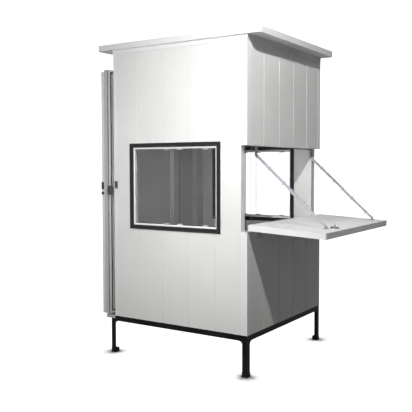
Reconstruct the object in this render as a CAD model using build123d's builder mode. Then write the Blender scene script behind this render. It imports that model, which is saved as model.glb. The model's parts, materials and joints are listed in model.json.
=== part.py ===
from build123d import *
import os
from math import atan2, cos, degrees, radians, sin

# A small guard booth of insulated steel panels on a black angle-iron base.
# Millimetres. X runs along the window wall, Y from the window wall to the rear
# wall, Z up from the ground. The door is on the -X side, the serving hatch on
# the +X side. The origin is on the ground under the middle of the whole booth,
# roof overhang and open flap included.

# ---- Driving sizes -------------------------------------------------------

body_width = 1200.0            # wall box along X
body_depth = 1200.0            # wall box along Y
wall_height = 2072.0
panel_thickness = 50.0
floor_thickness = 35.0
fit_clearance = 0.5

rail_size = 40.0               # angle iron of the base, both flanges
rail_thickness = 5.0
leg_height = 252.0             # ground to the underside of the rails
door_ledge = 40.0              # how far the base runs out under the door
gusset_radius = 28.0
foot_height = 30.0
foot_top_size = 44.0
foot_bottom_size = 51.0
foot_corner_radius = 7.0

groove_pitch = 235.0           # joints of the wall cladding
groove_width = 8.0
groove_depth = 2.5
groove_edge_margin = 60.0

trim_thickness = 1.5           # folded corner flashing
corner_trim_wide = 50.0
corner_trim_narrow = 28.0
top_trim_height = 38.0
top_trim_thickness = 3.0
cap_thickness = 2.0            # caps over the cut panel edges of the hatch
cap_gap = 1.0

roof_thickness = 40.0
roof_overhang_door_side = 148.0
roof_overhang_hatch_side = 108.0
roof_lap = 12.0                # past the window wall and the rear wall
roof_corner_radius = 20.0
roof_trim_thickness = 2.0
roof_trim_flange = 25.0

window_left_margin = 161.0     # from the door-side edge of the wall
window_width = 825.0
window_height = 650.0
window_rise = 696.0            # above the foot of the wall
window_flange = 32.0           # face width of the dark outer frame
window_flange_thickness = 6.0
window_sleeve = 12.0           # frame thickness inside the wall hole
rim_face = 13.0                # light inner rim that carries the panes
rim_depth = 40.0
rim_recess = 10.0              # behind the outer face of the dark frame
glass_thickness = 5.0
glass_track_pitch = 12.0       # between the two sliding panes
pane_overlap = 66.0

hatch_rise = 718.0             # foot of the wall to the sill cap's upper face
hatch_height = 597.0           # sill cap to lintel cap
flap_length = 578.0
flap_thickness = 42.0
flap_side_gap = 3.0
flap_hinge_gap = 5.0           # between the closed flap and the sill cap
flap_droop = 2.8               # degrees below level when open
flap_trim_thickness = 2.0
flap_corner_radius = 14.0
flap_barrel_radius = 6.0
flap_barrel_length = 80.0
flap_pin_radius = 3.0
flap_pin_clearance = 0.1
flap_hinge_plate = 2.5
flap_hinge_reach = 48.0
flap_hinge_inset = 170.0       # outer hinges from the ends of the wall

stay_front_gap = 180.0         # front stay to the front wall's inner face
stay_rear_gap = 17.0           # rear stay to the rear wall's inner face
stay_pivot_drop = 65.0         # upper pivot under the lintel cap
stay_foot_distance = 475.0     # lower pivot along the flap from the hinge pin
stay_pivot_lift = 17.0         # lower pivot above the flap
stay_shut_swing = 10.0         # degrees the shut knee stands off the flap
stay_bar_width = 20.0
stay_bar_thickness = 4.0
stay_layer_gap = 2.0           # between a lug and the bar beside it
stay_pin_radius = 3.5
stay_pin_clearance = 0.1
stay_head_radius = 8.0
stay_head_thickness = 2.5
hanger_plate = 3.0
hanger_plate_height = 80.0
hanger_plate_width = 30.0
lug_foot_length = 44.0
lug_foot_width = 24.0
lug_foot_thickness = 3.0

door_side_width = 95.0         # wall left beside the doorway, inner face to edge
door_head_height = 197.0       # wall panel over the doorway
door_lap = 40.0                # leaf past the hinge-side edge of the doorway
door_top_lap = 50.0            # leaf past the top of the doorway
door_foot_gap = 6.0            # leaf to threshold
door_seal_gap = 5.0            # closed leaf to wall
door_leaf_thickness = 48.0
door_front_reach = 2.0         # closed leaf past the window wall's face
door_ajar = 2.6                # degrees open as it stands
door_strip_depth = 30.0        # pull strip on the outer face, free edge
door_strip_width = 25.0
door_strip_top_drop = 14.0
door_strip_radius = 6.0
door_barrel_radius = 8.0
door_barrel_height = 100.0
door_pin_radius = 4.0
door_pin_clearance = 0.1
door_hinge_plate = 3.0
door_hinge_reach = 50.0
door_hinge_inset = 218.0       # outer hinges from the ends of the leaf
knuckle_gap = 0.5

sill_sheet = 3.0               # threshold folded over the base ledge
sill_lip = 25.0
sill_depth = 90.0              # out from the door-side wall

hasp_rise = 942.0              # above the foot of the leaf
hasp_tall = 70.0
hasp_tongue = 44.0
hasp_tongue_thickness = 4.0
hasp_body_width = 8.0
hasp_stand_off = 12.0
handle_width = 20.0
handle_thickness = 10.0
handle_lower_height = 23.0     # two blocks, the lower one level with the hasp
handle_gap = 17.0
handle_upper_height = 58.0
strike_rise = 50.0             # above the underside of the hasp
strike_tall = 57.0
strike_width = 26.0
strike_thickness = 3.0
strike_margin = 8.0

latch_length = 60.0            # barrel bolt on the flap
latch_width = 22.0
latch_thickness = 5.0
latch_rod_radius = 4.0
latch_end_inset = 73.0         # from the outer edge of the flap
latch_side_inset = 300.0       # from the front edge of the flap

# ---- Places that follow from the sizes -----------------------------------

wall_bottom = leg_height + rail_size
wall_top = wall_bottom + wall_height
half_depth = body_depth / 2
inner_y = half_depth - panel_thickness

hatch_bottom = wall_bottom + hatch_rise
hatch_top = hatch_bottom + hatch_height
flap_axis_z = hatch_bottom + flap_hinge_gap
flap_under = flap_barrel_radius
flap_upper = flap_under + flap_thickness
flap_tip = flap_length * cos(radians(flap_droop)) + flap_upper * sin(radians(flap_droop))

door_side_reach = roof_overhang_door_side + roof_trim_thickness
hatch_side_reach = flap_barrel_radius + flap_tip
wall_left = (door_side_reach - hatch_side_reach - body_width) / 2
wall_right = wall_left + body_width
inner_left = wall_left + panel_thickness
inner_right = wall_right - panel_thickness
base_left = wall_left - door_ledge

window_x = (wall_left + window_left_margin, wall_left + window_left_margin + window_width)
window_z = (wall_bottom + window_rise, wall_bottom + window_rise + window_height)

flap_axis_x = wall_right + flap_barrel_radius
flap_half_depth = half_depth - flap_side_gap
flap_hinge_places = (flap_hinge_inset - half_depth, 0.0, half_depth - flap_hinge_inset)
stay_places = (("front", stay_front_gap - inner_y), ("rear", inner_y - stay_rear_gap))
stay_pivot_height = hatch_top - stay_pivot_drop

doorway_y = (-inner_y, inner_y - door_side_width)
door_bottom = wall_bottom + sill_sheet + door_foot_gap
doorway_top = wall_top - door_head_height
door_top = doorway_top + door_top_lap
door_middle = (door_bottom + door_top) / 2
door_hinge_heights = (door_bottom + door_hinge_inset, door_middle, door_top - door_hinge_inset)
door_hinge_y = doorway_y[1] + door_lap + door_hinge_plate + door_barrel_radius
door_hinge_x = wall_left - door_hinge_plate - knuckle_gap - door_barrel_radius
door_inner = wall_left - door_seal_gap - door_hinge_x
door_outer = door_inner - door_leaf_thickness
door_near = door_barrel_radius + door_hinge_plate
door_far = door_hinge_y + half_depth + door_front_reach

os.makedirs("parts", exist_ok=True)


def span(first, second):
    """The two values as a rising pair."""
    return (min(first, second), max(first, second))


def block(x, y, z, base=Plane.XY, mode=Mode.ADD):
    """A box between the pairs x, y and z, measured in the base plane."""
    with BuildSketch(base.offset(z[0])) as outline:
        with Locations(((x[0] + x[1]) / 2, (y[0] + y[1]) / 2)):
            Rectangle(x[1] - x[0], y[1] - y[0])
    return extrude(outline.sketch, amount=z[1] - z[0], mode=mode)


def disc(centre, radius, z, base, mode=Mode.ADD):
    """A round rod or hole between the pair z along the base plane's normal."""
    with BuildSketch(base.offset(z[0])) as outline:
        with Locations(centre):
            Circle(radius)
    return extrude(outline.sketch, amount=z[1] - z[0], mode=mode)


def groove_places(length):
    """Distances of the cladding joints from the edge where they start."""
    count = int((length - groove_edge_margin) // groove_pitch)
    return [groove_pitch * (index + 1) for index in range(count)]


# ---- Base frame ----------------------------------------------------------

rail_z = (leg_height, wall_bottom)
rail_flange_z = (leg_height, leg_height + rail_thickness)

for name, side in (("front", -1), ("rear", 1)):
    with BuildPart() as base_rail:
        block((base_left, wall_right),
              span(side * (half_depth - rail_thickness), side * half_depth), rail_z)
        block((base_left, wall_right),
              span(side * (half_depth - rail_size), side * half_depth), rail_flange_z)
    base_rail.part.label = f"base_rail_{name}"
    export_step(base_rail.part, f"parts/base_rail_{name}.step")

cross_web_y = (rail_thickness - half_depth, half_depth - rail_thickness)
cross_flange_y = (rail_size - half_depth, half_depth - rail_size)
for name, outer, inward in (("left", base_left, 1), ("right", wall_right, -1)):
    with BuildPart() as base_rail:
        block(span(outer, outer + inward * rail_thickness), cross_web_y,
              (leg_height + rail_thickness, wall_bottom))
        block(span(outer, outer + inward * rail_size), cross_flange_y, rail_flange_z)
    base_rail.part.label = f"base_rail_{name}"
    export_step(base_rail.part, f"parts/base_rail_{name}.step")

leg_z = (foot_height, leg_height)
gusset_z = (leg_height - gusset_radius, leg_height)
leg_corners = (
    ("front_left", base_left, -half_depth, 1, 1),
    ("front_right", wall_right, -half_depth, -1, 1),
    ("rear_left", base_left, half_depth, 1, -1),
    ("rear_right", wall_right, half_depth, -1, -1),
)
with BuildPart() as base_legs:
    for name, corner_x, corner_y, into_x, into_y in leg_corners:
        end_x = corner_x + into_x * rail_size
        end_y = corner_y + into_y * rail_size
        skin_x = span(corner_x, corner_x + into_x * rail_thickness)
        skin_y = span(corner_y, corner_y + into_y * rail_thickness)
        block(span(corner_x, end_x), skin_y, leg_z)
        block(skin_x, span(corner_y, end_y), leg_z)
        # Curved gussets run from each flange out along the rails.
        block(span(end_x, end_x + into_x * gusset_radius), skin_y, gusset_z)
        block(skin_x, span(end_y, end_y + into_y * gusset_radius), gusset_z)
        across = Plane(origin=(0, skin_y[0], 0), x_dir=(1, 0, 0), z_dir=(0, 1, 0))
        disc((end_x + into_x * gusset_radius, -gusset_z[0]), gusset_radius,
             (0, rail_thickness), across, Mode.SUBTRACT)
        along = Plane(origin=(skin_x[0], 0, 0), x_dir=(0, 1, 0), z_dir=(1, 0, 0))
        disc((end_y + into_y * gusset_radius, gusset_z[0]), gusset_radius,
             (0, rail_thickness), along, Mode.SUBTRACT)
base_legs.part.label = "base_legs"
export_step(base_legs.part, "parts/base_legs.step")

with BuildPart() as foot_caps:
    for name, corner_x, corner_y, into_x, into_y in leg_corners:
        centre = (corner_x + into_x * rail_size / 2, corner_y + into_y * rail_size / 2)
        with BuildSketch(Plane.XY):
            with Locations(centre):
                RectangleRounded(foot_bottom_size, foot_bottom_size, foot_corner_radius)
        with BuildSketch(Plane.XY.offset(foot_height)):
            with Locations(centre):
                RectangleRounded(foot_top_size, foot_top_size, foot_corner_radius)
        loft()
foot_caps.part.label = "foot_caps"
export_step(foot_caps.part, "parts/foot_caps.step")

# The floor panel lies in the tray of the base, level with the rails.
with BuildPart() as floor_panel:
    block((base_left + rail_thickness + fit_clearance, wall_right - rail_thickness - fit_clearance),
          (rail_thickness + fit_clearance - half_depth, half_depth - rail_thickness - fit_clearance),
          (rail_flange_z[1], wall_bottom))
floor_panel.part.label = "floor_panel"
export_step(floor_panel.part, "parts/floor_panel.step")

# ---- Threshold under the door --------------------------------------------

sill_x = (wall_left - sill_depth, wall_left)
sill_y = (-half_depth - sill_sheet, doorway_y[1] + door_lap)
sill_z = (wall_bottom + sill_sheet - sill_lip, wall_bottom + sill_sheet)
with BuildPart() as door_sill:
    block(sill_x, sill_y, (wall_bottom, sill_z[1]))
    block((sill_x[0], sill_x[0] + sill_sheet), sill_y, sill_z)
    block(sill_x, (sill_y[0], -half_depth), sill_z)
    block((sill_x[0], base_left), (sill_y[1] - sill_sheet, sill_y[1]), sill_z)
door_sill.part.label = "door_sill"
export_step(door_sill.part, "parts/door_sill.step")

# ---- Walls ---------------------------------------------------------------

hole_lap = window_flange - window_sleeve
hole_x = (window_x[0] + hole_lap - fit_clearance, window_x[1] - hole_lap + fit_clearance)
hole_z = (window_z[0] + hole_lap - fit_clearance, window_z[1] - hole_lap + fit_clearance)
notch_z = (hatch_bottom - cap_thickness, hatch_top + cap_thickness)
wall_z = (wall_bottom, wall_top)

for name, side in (("front", -1), ("rear", 1)):
    wall_y = span(side * inner_y, side * half_depth)
    groove_y = span(side * (half_depth - groove_depth), side * half_depth)
    with BuildPart() as wall:
        block((wall_left, wall_right), wall_y, wall_z)
        block(hole_x, wall_y, hole_z, mode=Mode.SUBTRACT)
        block((inner_right, wall_right), wall_y, notch_z, mode=Mode.SUBTRACT)
        for place in groove_places(body_width):
            groove_x = (wall_left + place - groove_width / 2, wall_left + place + groove_width / 2)
            block(groove_x, groove_y, wall_z, mode=Mode.SUBTRACT)
    wall.part.label = f"{name}_wall"
    export_step(wall.part, f"parts/{name}_wall.step")

hatch_walls = (
    ("hatch_lower_wall", (wall_bottom, notch_z[0])),
    ("hatch_upper_wall", (notch_z[1], wall_top)),
)
for name, height in hatch_walls:
    with BuildPart() as wall:
        block((inner_right, wall_right), (-inner_y, inner_y), height)
        for place in groove_places(body_depth):
            groove_y = (place - half_depth - groove_width / 2, place - half_depth + groove_width / 2)
            block((wall_right - groove_depth, wall_right), groove_y, height, mode=Mode.SUBTRACT)
    wall.part.label = name
    export_step(wall.part, f"parts/{name}.step")

door_side_walls = (
    ("door_side_wall", (doorway_y[1], inner_y), wall_z),
    ("door_head_wall", doorway_y, (doorway_top, wall_top)),
)
for name, reach, height in door_side_walls:
    with BuildPart() as wall:
        block((wall_left, inner_left), reach, height)
        for place in groove_places(body_depth):
            groove_y = (half_depth - place - groove_width / 2, half_depth - place + groove_width / 2)
            if reach[0] < groove_y[0] and groove_y[1] < reach[1]:
                block((wall_left, wall_left + groove_depth), groove_y, height, mode=Mode.SUBTRACT)
    wall.part.label = name
    export_step(wall.part, f"parts/{name}.step")

# ---- Flashing on the corners, under the roof and round the hatch ---------

top_trim_z = (wall_top - top_trim_height, wall_top)
with BuildPart() as corner_trims:
    for side in (-1, 1):
        skin_y = span(side * half_depth, side * (half_depth + trim_thickness))
        for height in ((wall_bottom, notch_z[0]), (notch_z[1], top_trim_z[0])):
            block((wall_right - corner_trim_wide, wall_right + trim_thickness), skin_y, height)
            block((wall_right, wall_right + trim_thickness),
                  span(side * (half_depth - corner_trim_wide), side * half_depth), height)
        block((wall_left, wall_left + corner_trim_narrow), skin_y, (wall_bottom, top_trim_z[0]))
corner_trims.part.label = "corner_trims"
export_step(corner_trims.part, "parts/corner_trims.step")

with BuildPart() as top_trims:
    for side in (-1, 1):
        block((wall_left - top_trim_thickness, wall_right + top_trim_thickness),
              span(side * half_depth, side * (half_depth + top_trim_thickness)), top_trim_z)
    block((wall_left - top_trim_thickness, wall_left), (-half_depth, half_depth), top_trim_z)
    block((wall_right, wall_right + top_trim_thickness), (-half_depth, half_depth), top_trim_z)
top_trims.part.label = "top_trims"
export_step(top_trims.part, "parts/top_trims.step")

with BuildPart() as hatch_caps:
    block((inner_right, wall_right), (-half_depth, half_depth), (notch_z[0], hatch_bottom))
    block((inner_right, wall_right), (-half_depth, half_depth), (hatch_top, notch_z[1]))
    for side in (-1, 1):
        block((inner_right, inner_right + cap_thickness), span(side * inner_y, side * half_depth),
              (hatch_bottom + cap_gap, hatch_top - cap_gap))
hatch_caps.part.label = "hatch_caps"
export_step(hatch_caps.part, "parts/hatch_caps.step")

# ---- Roof ----------------------------------------------------------------

roof_x = (wall_left - roof_overhang_door_side, wall_right + roof_overhang_hatch_side)
roof_length = roof_x[1] - roof_x[0]
roof_depth = body_depth + 2 * roof_lap
roof_middle = ((roof_x[0] + roof_x[1]) / 2, 0)

with BuildPart() as roof_panel:
    with BuildSketch(Plane.XY.offset(wall_top)):
        with Locations(roof_middle):
            RectangleRounded(roof_length, roof_depth, roof_corner_radius)
    extrude(amount=roof_thickness)
roof_panel.part.label = "roof_panel"
export_step(roof_panel.part, "parts/roof_panel.step")

with BuildPart() as roof_edge_trim:
    with BuildSketch(Plane.XY.offset(wall_top - roof_trim_thickness)):
        with Locations(roof_middle):
            RectangleRounded(roof_length + 2 * roof_trim_thickness,
                             roof_depth + 2 * roof_trim_thickness,
                             roof_corner_radius + roof_trim_thickness)
    extrude(amount=roof_thickness + 2 * roof_trim_thickness)
    with BuildSketch(Plane.XY.offset(wall_top - roof_trim_thickness)):
        with Locations(roof_middle):
            RectangleRounded(roof_length, roof_depth, roof_corner_radius)
    extrude(amount=roof_thickness + roof_trim_thickness, mode=Mode.SUBTRACT)
    with BuildSketch(Plane.XY.offset(wall_top + roof_thickness)):
        with Locations(roof_middle):
            Rectangle(roof_length - 2 * roof_trim_flange, roof_depth - 2 * roof_trim_flange)
    extrude(amount=roof_trim_thickness, mode=Mode.SUBTRACT)
roof_edge_trim.part.label = "roof_edge_trim"
export_step(roof_edge_trim.part, "parts/roof_edge_trim.step")

# ---- Sliding windows, one in the front wall and one in the rear wall ------

frame_inner_x = (window_x[0] + window_flange, window_x[1] - window_flange)
frame_inner_z = (window_z[0] + window_flange, window_z[1] - window_flange)
light_x = (frame_inner_x[0] + rim_face, frame_inner_x[1] - rim_face)
light_z = (frame_inner_z[0] + rim_face, frame_inner_z[1] - rim_face)
pane_width = (light_x[1] - light_x[0] + pane_overlap) / 2
flange_outer = half_depth + window_flange_thickness
flange_inner = inner_y - window_flange_thickness
rim_outer = flange_outer - rim_recess
rim_inner = rim_outer - rim_depth
outer_track = (rim_outer + rim_inner + glass_track_pitch) / 2
inner_track = outer_track - glass_track_pitch
half_glass = glass_thickness / 2

for name, side in (("front", -1), ("rear", 1)):
    with BuildPart() as window_frame:
        block(window_x, span(side * half_depth, side * flange_outer), window_z)
        block(window_x, span(side * flange_inner, side * inner_y), window_z)
        block((window_x[0] + hole_lap, window_x[1] - hole_lap), span(side * inner_y, side * half_depth),
              (window_z[0] + hole_lap, window_z[1] - hole_lap))
        block(frame_inner_x, span(side * flange_inner, side * flange_outer), frame_inner_z,
              mode=Mode.SUBTRACT)
    window_frame.part.label = f"{name}_window_frame"
    export_step(window_frame.part, f"parts/{name}_window_frame.step")

    with BuildPart() as window_rim:
        block(frame_inner_x, span(side * rim_inner, side * rim_outer), frame_inner_z)
        block(light_x, span(side * rim_inner, side * rim_outer), light_z, mode=Mode.SUBTRACT)
    window_rim.part.label = f"{name}_window_rim"
    export_step(window_rim.part, f"parts/{name}_window_rim.step")

    with BuildPart() as window_glass:
        block((light_x[0], light_x[0] + pane_width),
              span(side * (inner_track - half_glass), side * (inner_track + half_glass)), light_z)
        block((light_x[1] - pane_width, light_x[1]),
              span(side * (outer_track - half_glass), side * (outer_track + half_glass)), light_z)
    window_glass.part.label = f"{name}_window_glass"
    export_step(window_glass.part, f"parts/{name}_window_glass.step")

# ---- Door ----------------------------------------------------------------
# In the door's plane x runs from the hinge pin to the free edge and y inward.

door_plane = Plane(
    origin=(door_hinge_x, door_hinge_y, 0),
    x_dir=(-sin(radians(door_ajar)), -cos(radians(door_ajar)), 0),
    z_dir=(0, 0, 1),
)

with BuildPart() as door_leaf:
    block((door_near, door_far), (door_outer, door_inner), (door_bottom, door_top), door_plane)
    for place in groove_places(door_far - door_near):
        groove_x = (door_far - place - groove_width / 2, door_far - place + groove_width / 2)
        block(groove_x, (door_outer, door_outer + groove_depth), (door_bottom, door_top),
              door_plane, Mode.SUBTRACT)
door_leaf.part.label = "door_leaf"
export_step(door_leaf.part, "parts/door_leaf.step")

with BuildPart() as door_pull_strip:
    block((door_far - door_strip_width, door_far), (door_outer - door_strip_depth, door_outer),
          (door_bottom, door_top - door_strip_top_drop), door_plane)
    fillet(door_pull_strip.edges().filter_by(Axis.Z).sort_by(Axis.X)[:2], door_strip_radius)
door_pull_strip.part.label = "door_pull_strip"
export_step(door_pull_strip.part, "parts/door_pull_strip.step")

pin_centre = (0, 0)
with BuildPart() as door_hinge_plates:
    for height in door_hinge_heights:
        full = (height - door_barrel_height / 2, height + door_barrel_height / 2)
        lower = (full[0], height - knuckle_gap)
        block((wall_left - door_hinge_plate, wall_left),
              (door_hinge_y, door_hinge_y + door_hinge_reach), full)
        block((door_hinge_x, wall_left), (door_hinge_y, door_hinge_y + door_barrel_radius), lower)
        disc(pin_centre, door_barrel_radius, lower, door_plane)
        disc(pin_centre, door_pin_radius, full, door_plane)
door_hinge_plates.part.label = "door_hinge_plates"
export_step(door_hinge_plates.part, "parts/door_hinge_plates.step")

with BuildPart() as door_hinge_leaves:
    for height in door_hinge_heights:
        upper = (height + knuckle_gap, height + door_barrel_height / 2)
        block((0, door_near), (door_outer, 0), upper, door_plane)
        block((0, door_barrel_radius - door_hinge_plate), (door_outer, -door_barrel_radius / 2),
              upper, door_plane, Mode.SUBTRACT)
        disc(pin_centre, door_barrel_radius, upper, door_plane)
        disc(pin_centre, door_pin_radius + door_pin_clearance, upper, door_plane, Mode.SUBTRACT)
door_hinge_leaves.part.label = "door_hinge_leaves"
export_step(door_hinge_leaves.part, "parts/door_hinge_leaves.step")

# The hasp stands on the free edge; shut, its tongue laps the strike plate.
hasp_z = (door_bottom + hasp_rise, door_bottom + hasp_rise + hasp_tall)
hasp_face = door_far + hasp_stand_off
with BuildPart() as door_hasp:
    block((door_far, hasp_face), (door_inner - hasp_body_width, door_inner), hasp_z, door_plane)
    block((hasp_face - hasp_tongue_thickness, hasp_face), (door_inner, door_inner + hasp_tongue),
          hasp_z, door_plane)
door_hasp.part.label = "door_hasp"
export_step(door_hasp.part, "parts/door_hasp.step")

handle_middle = door_outer - door_strip_depth / 2
handle_lower_z = (hasp_z[0], hasp_z[0] + handle_lower_height)
handle_upper_z = (handle_lower_z[1] + handle_gap, handle_lower_z[1] + handle_gap + handle_upper_height)
handle_y = (handle_middle - handle_width / 2, handle_middle + handle_width / 2)
with BuildPart() as door_handle:
    for height in (handle_lower_z, handle_upper_z):
        block((door_far, door_far + handle_thickness), handle_y, height, door_plane)
door_handle.part.label = "door_handle"
export_step(door_handle.part, "parts/door_handle.step")

strike_x = (wall_left + strike_margin, wall_left + strike_margin + strike_width)
strike_z = (hasp_z[0] + strike_rise, hasp_z[0] + strike_rise + strike_tall)
strike_face = half_depth + trim_thickness
with BuildPart() as strike_plate:
    block(strike_x, (-strike_face - strike_thickness, -strike_face), strike_z)
    block((wall_left + corner_trim_narrow, strike_x[1]), (-strike_face, -half_depth), strike_z)
strike_plate.part.label = "strike_plate"
export_step(strike_plate.part, "parts/strike_plate.step")

# ---- Hatch flap ----------------------------------------------------------
# In the flap's plane x runs out from the hinge pin, y with Y and z up through it.

flap_plane = Plane(
    origin=(flap_axis_x, 0, flap_axis_z),
    x_dir=(cos(radians(flap_droop)), 0, -sin(radians(flap_droop))),
    z_dir=(sin(radians(flap_droop)), 0, cos(radians(flap_droop))),
)
flap_core_y = (flap_trim_thickness - flap_half_depth, flap_half_depth - flap_trim_thickness)
flap_core_x = (0, flap_length - flap_trim_thickness)
flap_z = (flap_under, flap_upper)

def flap_sheet(length, half_width, corner, mode=Mode.ADD):
    """A plate as thick as the flap, from the pin outward, its two outer corners rounded."""
    with BuildSketch(flap_plane.offset(flap_under)) as outline:
        with Locations((length / 2, 0)):
            Rectangle(length, 2 * half_width)
        fillet(outline.vertices().sort_by(Axis.X)[-2:], corner)
    extrude(outline.sketch, amount=flap_upper - flap_under, mode=mode)


with BuildPart() as hatch_flap:
    flap_sheet(flap_core_x[1], flap_core_y[1], flap_corner_radius - flap_trim_thickness)
    for place in groove_places(body_depth):
        groove_y = (place - half_depth - groove_width / 2, place - half_depth + groove_width / 2)
        block(flap_core_x, groove_y, (flap_upper - groove_depth, flap_upper), flap_plane, Mode.SUBTRACT)
hatch_flap.part.label = "hatch_flap"
export_step(hatch_flap.part, "parts/hatch_flap.step")

with BuildPart() as flap_edge_trim:
    flap_sheet(flap_length, flap_half_depth, flap_corner_radius)
    flap_sheet(flap_core_x[1], flap_core_y[1], flap_corner_radius - flap_trim_thickness, Mode.SUBTRACT)
flap_edge_trim.part.label = "flap_edge_trim"
export_step(flap_edge_trim.part, "parts/flap_edge_trim.step")

flap_pin_plane = Plane(origin=(flap_axis_x, 0, flap_axis_z), x_dir=flap_plane.x_dir, z_dir=(0, 1, 0))
half_barrel = flap_barrel_length / 2
quarter_barrel = flap_barrel_length / 4
flap_leaf_z = (flap_under - flap_hinge_plate, flap_under)
wall_leaf_x = (wall_right, wall_right + flap_hinge_plate)
wall_leaf_top = flap_axis_z - flap_barrel_radius - cap_thickness

with BuildPart() as flap_hinge_plates:
    for place in flap_hinge_places:
        full = (place - half_barrel, place + half_barrel)
        middle = (place - quarter_barrel + knuckle_gap, place + quarter_barrel - knuckle_gap)
        block(wall_leaf_x, full, (wall_leaf_top - flap_hinge_reach, wall_leaf_top))
        block(wall_leaf_x, middle, (wall_leaf_top, flap_axis_z))
        disc(pin_centre, flap_barrel_radius, middle, flap_pin_plane)
        disc(pin_centre, flap_pin_radius, full, flap_pin_plane)
flap_hinge_plates.part.label = "flap_hinge_plates"
export_step(flap_hinge_plates.part, "parts/flap_hinge_plates.step")

with BuildPart() as flap_hinge_leaves:
    for place in flap_hinge_places:
        block((flap_barrel_radius + knuckle_gap, flap_hinge_reach),
              (place - half_barrel, place + half_barrel), flap_leaf_z, flap_plane)
        for side in (-1, 1):
            ear = span(place + side * quarter_barrel, place + side * half_barrel)
            block((0, flap_barrel_radius + knuckle_gap), ear, flap_leaf_z, flap_plane)
            disc(pin_centre, flap_barrel_radius, ear, flap_pin_plane)
            disc(pin_centre, flap_pin_radius + flap_pin_clearance, ear, flap_pin_plane, Mode.SUBTRACT)
flap_hinge_leaves.part.label = "flap_hinge_leaves"
export_step(flap_hinge_leaves.part, "parts/flap_hinge_leaves.step")

latch_distance = flap_length - latch_end_inset
latch_place = latch_side_inset - flap_half_depth
latch_x = (latch_distance - latch_length / 2, latch_distance + latch_length / 2)
latch_y = (latch_place - latch_width / 2, latch_place + latch_width / 2)
latch_rod_z = flap_upper + latch_thickness + latch_rod_radius / 2
latch_rod_start = flap_plane.from_local_coords((latch_x[0], latch_place, latch_rod_z))
latch_plane = Plane(origin=latch_rod_start, x_dir=(0, 1, 0), z_dir=flap_plane.x_dir)
with BuildPart() as flap_latch:
    block(latch_x, latch_y, (flap_upper, flap_upper + latch_thickness), flap_plane)
    disc(pin_centre, latch_rod_radius, (0, latch_length + latch_rod_radius), latch_plane)
flap_latch.part.label = "flap_latch"
export_step(flap_latch.part, "parts/flap_latch.step")

# ---- Folding stays -------------------------------------------------------
# A stay is straight when the flap is down. Shut, its two bars fold down side by
# side from the pivots, which then stand shut_drop apart, one above the other.

pivot_lift = flap_upper + stay_pivot_lift
upper_pivot = Vector(flap_axis_x - pivot_lift, 0, stay_pivot_height)
lower_pivot = flap_plane.from_local_coords((stay_foot_distance, 0, pivot_lift))
stay_vector = lower_pivot - upper_pivot
stay_direction = stay_vector.normalized()
stay_length = stay_vector.length
shut_drop = stay_pivot_height - flap_axis_z - stay_foot_distance
swing_cosine = cos(radians(stay_shut_swing))
upper_link_length = (stay_length**2 - shut_drop**2) / (2 * (stay_length - shut_drop * swing_cosine))
lower_link_length = stay_length - upper_link_length
lug_half = stay_bar_thickness / 2
upper_layer = (lug_half + stay_layer_gap, lug_half + stay_layer_gap + stay_bar_thickness)
lower_layer = (-upper_layer[1], -upper_layer[0])
upper_head = (upper_layer[1] + knuckle_gap, upper_layer[1] + knuckle_gap + stay_head_thickness)
lower_head = (-upper_head[1], -upper_head[0])
bar_end = stay_bar_width / 2


def stay_bar(pivot, direction, length, layer, hole_places):
    """A flat bar with round ends from a pivot along a direction, with its holes."""
    bar_plane = Plane(origin=pivot, x_dir=direction, z_dir=(0, 1, 0))
    with BuildSketch(bar_plane.offset(layer[0])) as outline:
        with Locations((length / 2, 0)):
            SlotCenterToCenter(length, stay_bar_width)
        with Locations(*[(place, 0) for place in hole_places]):
            Circle(stay_pin_radius + stay_pin_clearance, mode=Mode.SUBTRACT)
    return extrude(outline.sketch, amount=layer[1] - layer[0])


with BuildPart() as stay_hangers:
    for name, place in stay_places:
        lug_y = (place - lug_half, place + lug_half)
        plate_z = (notch_z[1], notch_z[1] + hanger_plate_height)
        hanger_x = (upper_pivot.X - bar_end, inner_right - fit_clearance)
        block((inner_right - hanger_plate, inner_right), (lug_y[1] - hanger_plate_width, lug_y[1]), plate_z)
        block((hanger_x[0], inner_right), lug_y, plate_z)
        block(hanger_x, lug_y, (stay_pivot_height, plate_z[0]))
        pin_plane = Plane(origin=(upper_pivot.X, place, stay_pivot_height), x_dir=(1, 0, 0), z_dir=(0, 1, 0))
        disc(pin_centre, bar_end, (-lug_half, lug_half), pin_plane)
        disc(pin_centre, stay_pin_radius, (0, upper_head[0]), pin_plane)
        disc(pin_centre, stay_head_radius, upper_head, pin_plane)
stay_hangers.part.label = "stay_hangers"
export_step(stay_hangers.part, "parts/stay_hangers.step")

with BuildPart() as stay_lugs:
    for name, place in stay_places:
        lug_x = (stay_foot_distance - bar_end, stay_foot_distance + bar_end)
        foot_x = (stay_foot_distance - lug_foot_length / 2, stay_foot_distance + lug_foot_length / 2)
        block(foot_x, (place + lug_half - lug_foot_width, place + lug_half),
              (flap_upper, flap_upper + lug_foot_thickness), flap_plane)
        block(lug_x, (place - lug_half, place + lug_half), (flap_upper, pivot_lift), flap_plane)
        pin_plane = Plane(origin=(lower_pivot.X, place, lower_pivot.Z), x_dir=(1, 0, 0), z_dir=(0, 1, 0))
        disc(pin_centre, bar_end, (-lug_half, lug_half), pin_plane)
        disc(pin_centre, stay_pin_radius, (lower_head[1], 0), pin_plane)
        disc(pin_centre, stay_head_radius, lower_head, pin_plane)
stay_lugs.part.label = "stay_lugs"
export_step(stay_lugs.part, "parts/stay_lugs.step")

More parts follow.
